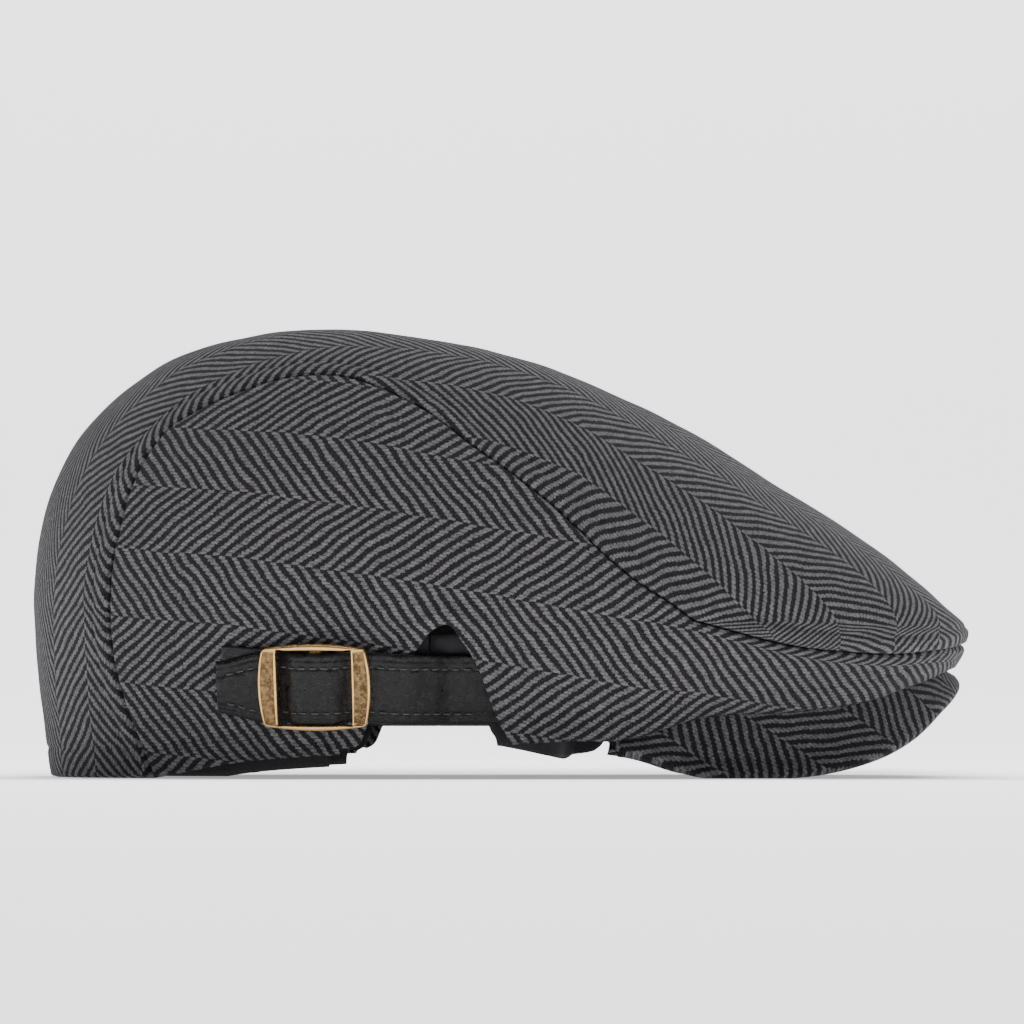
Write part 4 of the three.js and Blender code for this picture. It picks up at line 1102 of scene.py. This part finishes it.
def section(half, thick, edge):
    """Half a leather strip's outline, as shares of its width and millimetres of its height."""
    ends = np.array([0.12, 0.4, 0.9]) * edge / half
    across = np.concatenate([[-1.0], -1 + ends, np.linspace(-0.93, 0.93, 45), 1 - ends[::-1], [1.0]])
    gap = (1 - np.abs(across)) * half
    drop = np.minimum(roll(gap, edge), edge)
    bevel = 0.55 * np.clip(1 - gap / 1.7, 0, 1) ** 1.2
    return across, thick / 2 - np.minimum(drop * 0.5 + bevel, edge + 0.2), -thick / 2 + drop


def strip(name, x, lift, half, thick, tuck=0.0, ends=1.0):
    """A leather strip along the wall. half is its half width at each x."""
    across, high, low = section(float(np.max(half)), thick, 0.7)
    run = x[:, None]
    up = across[None, :] * half[:, None]
    gap = half[:, None] - np.abs(up)
    end = np.minimum(x - x.min(), x.max() - x)[:, None]
    soften = roll(end, ends)
    tool = stack(run + 0 * up, up, 0 * up)
    grain = 0.12 * waves(tool, 8, 41) + 0.09 * waves(tool, 3.2, 42) + 0.05 * waves(tool, 1.5, 43)
    top = lift[:, None] + thick / 2 + high[None, :] - soften * 0.4
    seam = np.where(up > 0, STITCH_INSETS[1], STITCH_INSETS[0])
    top = top - tuck * (dip(gap, 1.9, 0.35) + dip(gap, seam, 0.5))
    top = top + np.where(gap > 0.8, grain * 0.8 - 0.05, 0)
    bottom = lift[:, None] + thick / 2 + low[None, :] + soften * 0.3
    low = up - read(STRAP_PATH, 2, x, True)[:, None]
    return sheet_object(name, on_wall(run + 0 * up, low, top), on_wall(run + 0 * up, low, bottom),
                        stack(run + 0 * up, up), LEATHER)


def strap_half(x):
    behind = BUCKLE_MIDDLE - BUCKLE_LENGTH / 2
    share = smooth((behind - x) / (behind - STRAP_END))
    return STRAP_WIDTH / 2 * mix(1, STRAP_TIP, share)


def stitches(name, rows, pitch, length, radius):
    """Short thread capsules laid along lines of points and their outward directions."""
    points, faces = [], []
    for line, out in rows:
        length_along = run_along(line)
        count = int((length_along[-1] - length) / pitch)
        for k in range(count):
            at = STITCH_START + k * pitch + STITCH_SHAPE[:, 0] * length
            middle = np.stack([np.interp(at, length_along, line[:, c]) for c in range(3)], -1)
            way = unit(middle[-1] - middle[0])
            off = np.array([np.interp(at[2], length_along, out[:, c]) for c in range(3)])
            side = unit(np.cross(way, off))
            faces += tube_faces(len(points), len(STITCH_SHAPE), 6)
            for place_on, (fat, high) in zip(middle, STITCH_SHAPE[:, 1:] * radius):
                for angle in np.arange(6) * np.pi / 3:
                    raised = off * (high + fat * math.sin(angle))
                    points.append(place_on + raised + side * fat * math.cos(angle))
    return fix_normals(make_object(name, points, faces, None, [THREAD]))


def stitch_rows(xs, lift_of, half_of):
    rows = []
    for sign, inset in zip((-1, 1), STITCH_INSETS):
        up = sign * (half_of(xs) - inset) - read(STRAP_PATH, 2, xs, True)
        line = on_wall(xs, up, lift_of(xs))
        rows.append((line, unit(on_wall(xs, up, lift_of(xs) + 1) - line)))
    return rows


xs = np.linspace(STRAP_END, STRAP_FRONT, 230)
lift = read(STRAP_PATH, 1, xs, True)
strap = strip("strap_leather_right", xs, lift, strap_half(xs), STRAP_THICKNESS, 0.25)
place_pair(strap, "strap_leather", "black_leather", "strap")
rows = stitch_rows(np.linspace(STRAP_END + 2.5, slot_edge(0.42), 300),
                   lambda s: read(STRAP_PATH, 1, s, True) + STRAP_THICKNESS - 0.12, strap_half)
place_pair(stitches("strap_stitches_right", rows, 3.3, 2.3, 0.26), "strap_stitches", "black_leather")


def tab_piece():
    tip = STRAP_END + TAB_SHORT
    turn_at = BUCKLE_MIDDLE + MIDDLE_BAR / 2
    middle = TAB_LIFT + LOOP_RADIUS
    flat_x = np.linspace(tip, turn_at, 90)[:-1]
    angle = np.linspace(-np.pi / 2, np.pi / 2, 25)
    back_x = np.linspace(turn_at, BUCKLE_MIDDLE - MIDDLE_BAR / 2 - LAYER_GAP, 16)[1:]

    def line(radius):
        x = np.concatenate([flat_x, turn_at + radius * np.cos(angle), back_x])
        z = middle + radius * np.concatenate([0 * flat_x - 1, np.sin(angle), 0 * back_x + 1])
        return x, z

    across = section(TAB_WIDTH / 2, TAB_THICKNESS, 0.4)[0]
    drop = roll((1 - np.abs(across)) * TAB_WIDTH / 2, 0.35)[None, :]
    up = across[None, :] * TAB_WIDTH / 2
    outer_x, outer_z = line(LOOP_RADIUS)
    inner_x, inner_z = line(LOOP_RADIUS - TAB_THICKNESS)
    way = stack(outer_x - inner_x, outer_z - inner_z) / TAB_THICKNESS
    ox, oz = outer_x[:, None] - way[:, :1] * drop, outer_z[:, None] - way[:, 1:] * drop
    nx, nz = inner_x[:, None] + way[:, :1] * drop, inner_z[:, None] + way[:, 1:] * drop
    raised = TAB_RAISE * np.maximum(0, (turn_at - ox) / (turn_at - tip))
    outer, inner = on_wall(ox, up + raised, oz), on_wall(nx, up + raised, nz)
    return sheet_object("strap_tab_leather_right", outer, inner, stack(ox, up + 0 * ox), LEATHER)


place_pair(tab_piece(), "strap_tab_leather", "black_leather", "strap_tab")


def buckle_outline(half_x, half_y, bow_side, bow_rail, notch=0.0, count=44):
    """A rectangle with bowed sides and softened corners, notched at the corners' rails."""
    s = np.linspace(-1, 1, count + 1)[:-1]
    bulge = 1 - s**2
    deep = notch * smooth((np.abs(s) - 0.78) / 0.08)
    right = np.column_stack([half_x + bow_side * bulge, half_y * s])
    top = np.column_stack([-half_x * s, half_y + bow_rail * bulge + deep])
    left = np.column_stack([-half_x - bow_side * bulge, -half_y * s])
    foot = np.column_stack([half_x * s, -half_y - bow_rail * bulge - deep])
    line = np.concatenate([right, top, left, foot])
    for _ in range(2):
        line = (np.roll(line, 1, axis=0) + 2 * line + np.roll(line, -1, axis=0)) / 4
    return line


FRAME_FOOT = 0.15


def buckle_piece():
    outer = buckle_outline(BUCKLE_LENGTH / 2, BUCKLE_HEIGHT / 2, BAR_BOW, RAIL_BOW)
    inner = buckle_outline(WINDOW_LENGTH / 2, WINDOW_HEIGHT / 2, 0, 0, 0.35)
    count = len(outer)
    side = np.arange(count) // (count // 4)
    s = np.abs(np.linspace(0, 4, count + 1)[:-1] % 1 * 2 - 1)
    on_bar = np.where(side % 2 == 0, smooth((1.02 - s) / 0.05), 0.0)
    t = np.array([0, 0.04, 0.1, 0.14, 0.19, 0.5, 0.81, 0.86, 0.9, 0.96, 1])
    bar = np.array([1.45, 1.95, 2.2, 2.12, 1.8, 1.78, 1.8, 2.12, 2.2, 1.95, 1.5])
    rail = np.array([1.1, 1.6, 1.95, 2.05, 2.12, 2.2, 2.12, 2.05, 1.95, 1.6, 1.1])
    high = on_bar[:, None] * bar + (1 - on_bar[:, None]) * rail
    flat = outer[:, None] * (1 - t[None, :, None]) + inner[:, None] * t[None, :, None]
    section_at = np.concatenate([flat, flat[:, [-1, 0]]], axis=1)
    height = np.concatenate([high, np.full((count, 2), FRAME_FOOT)], axis=1) + FRAME_LIFT
    points = on_wall(BUCKLE_MIDDLE + section_at[..., 0], BUCKLE_RISE + section_at[..., 1], height)
    rows, columns = points.shape[:2]
    index = np.arange(rows * columns).reshape(rows, columns)
    faces, aged = [], []
    for i in range(rows):
        for j in range(columns):
            i2, j2 = (i + 1) % rows, (j + 1) % columns
            faces.append([index[i, j], index[i, j2], index[i2, j2], index[i2, j]])
            aged.append(1 if 3 <= j <= 6 and on_bar[i] > 0.5 and on_bar[i2] > 0.5 else 0)
    piece = make_object("buckle_frame_right", points, faces, None, [BRASS, BRASS_AGED])
    piece.data.polygons.foreach_set("material_index", aged)
    return fix_normals(piece)


def middle_bar():
    half_path = [(-1, 3.6), (-1, 1.9), (-0.96, 0.85), (-0.9, 0.8)]
    path = half_path + [(-up, rise) for up, rise in half_path[::-1]]
    reach = (WINDOW_HEIGHT + POST) / 2 + BUCKLE_RISE
    angle = np.arange(16) * np.pi / 8
    width = np.sign(np.cos(angle)) * np.abs(np.cos(angle)) ** 0.5 * MIDDLE_BAR / 2
    points = []
    for up, rise in path:
        upright = abs(up) == 1
        half = 0.7 if upright else MIDDLE_BAR_THICKNESS / 2 - 0.05
        for beside, off in zip(width, half * np.sin(angle)):
            points.append((BUCKLE_MIDDLE + beside, up * reach + (off if upright else 0),
                           BAR_LIFT + rise + (0 if upright else off)))
    points = np.array(points)
    grid = on_wall(points[:, 0], points[:, 1], points[:, 2])
    faces = tube_faces(0, len(path), len(angle))
    return fix_normals(make_object("buckle_bar_right", grid, faces, None, [BRASS]))


place_pair(buckle_piece(), "buckle_frame", "antique_brass", "buckle")
place_pair(middle_bar(), "buckle_bar", "antique_brass")


# Floor, backdrop and light. The painted shadow zone is in metres, the sheet in millimetres
STAGE_GLOW, STAGE_WHITE, STAGE_PALE = 1.85, (0.82, 0.82, 0.82, 1), (0.8, 0.8, 0.81, 1)
SHADOW_SIDE, SHADOW_FRONT, SHADOW_BACK, BACK_SHARE = 0.12, -0.09, 0.1, 0.14
STAGE_SIDE, STAGE_FRONT, STAGE_BACK, STAGE_BEND, STAGE_TOP = 3500, -2600, 1500, 600, 2600
LIGHTS_AIM = (0, 0, 0.05)


def add_stage():
    """A white seamless sheet that glows, except in a zone near the cap: a painted shadow, where no glow is
    given and only the lamps light the sheet.
    """
    m = Shading("studio_white")
    where = m.place()
    m.put({"Base Color": m.blend(m.noise(where, 3.0), STAGE_PALE, STAGE_WHITE), "Roughness": 0.9,
           "Specular IOR Level": 0.2})
    x, y = m.node("SeparateXYZ", {0: where})[:2]

    def past(value, limit):
        return m.calc("MAXIMUM", m.minus(value, limit), 0.0)

    deep = m.plus(m.times(past(y, SHADOW_BACK), BACK_SHARE), past(SHADOW_FRONT, y))
    wide = past(m.calc("ABSOLUTE", x), SHADOW_SIDE)
    away = m.calc("SQRT", m.times_plus(wide, wide, m.times(deep, deep)))
    # Painted shadow: the sheet gives no light in a zone round the cap, and full light beyond it
    glow = m.between(away, -0.03, 0.07, 0.0, STAGE_GLOW)
    m.put({"Emission Color": (1, 1, 1, 1), "Emission Strength": glow})
    angle = np.linspace(0, np.pi / 2, 24)
    y = np.concatenate([[STAGE_FRONT], STAGE_BACK + STAGE_BEND * np.sin(angle), [STAGE_BACK + STAGE_BEND]])
    z = np.concatenate([[0], STAGE_BEND * (1 - np.cos(angle)), [STAGE_TOP]])
    points = np.concatenate([np.column_stack([0 * y + side, y, z]) for side in (-STAGE_SIDE, STAGE_SIDE)])
    count = len(y)
    faces = [[i, i + count, i + 1 + count, i + 1] for i in range(count - 1)]
    floor = make_object("studio_floor", points, faces, None, [m.material])


def add_light(name, location, size, power):
    data = bpy.data.lights.new(name, "AREA")
    data.shape = "RECTANGLE"
    data.size, data.size_y = size
    data.energy = power
    aim(add_object(name, data), location, LIGHTS_AIM)


add_stage()
add_light("key", (0.55, -0.9, 1.15), (0.8, 0.6), 1.0)
add_light("side", (-1.2, -0.7, 0.7), (0.7, 0.9), 1.0)
add_light("top", (0.15, 0.3, 1.6), (1.4, 0.9), 29)
add_light("fill", (0.8, -1.6, 0.04), (1.2, 0.1), 0.3)
world = bpy.data.worlds.new("studio")
world.use_nodes = True
world.node_tree.nodes["Background"].inputs[0].default_value = (1, 1, 1, 1)
world.node_tree.nodes["Background"].inputs[1].default_value = 0.04
scene.world = world
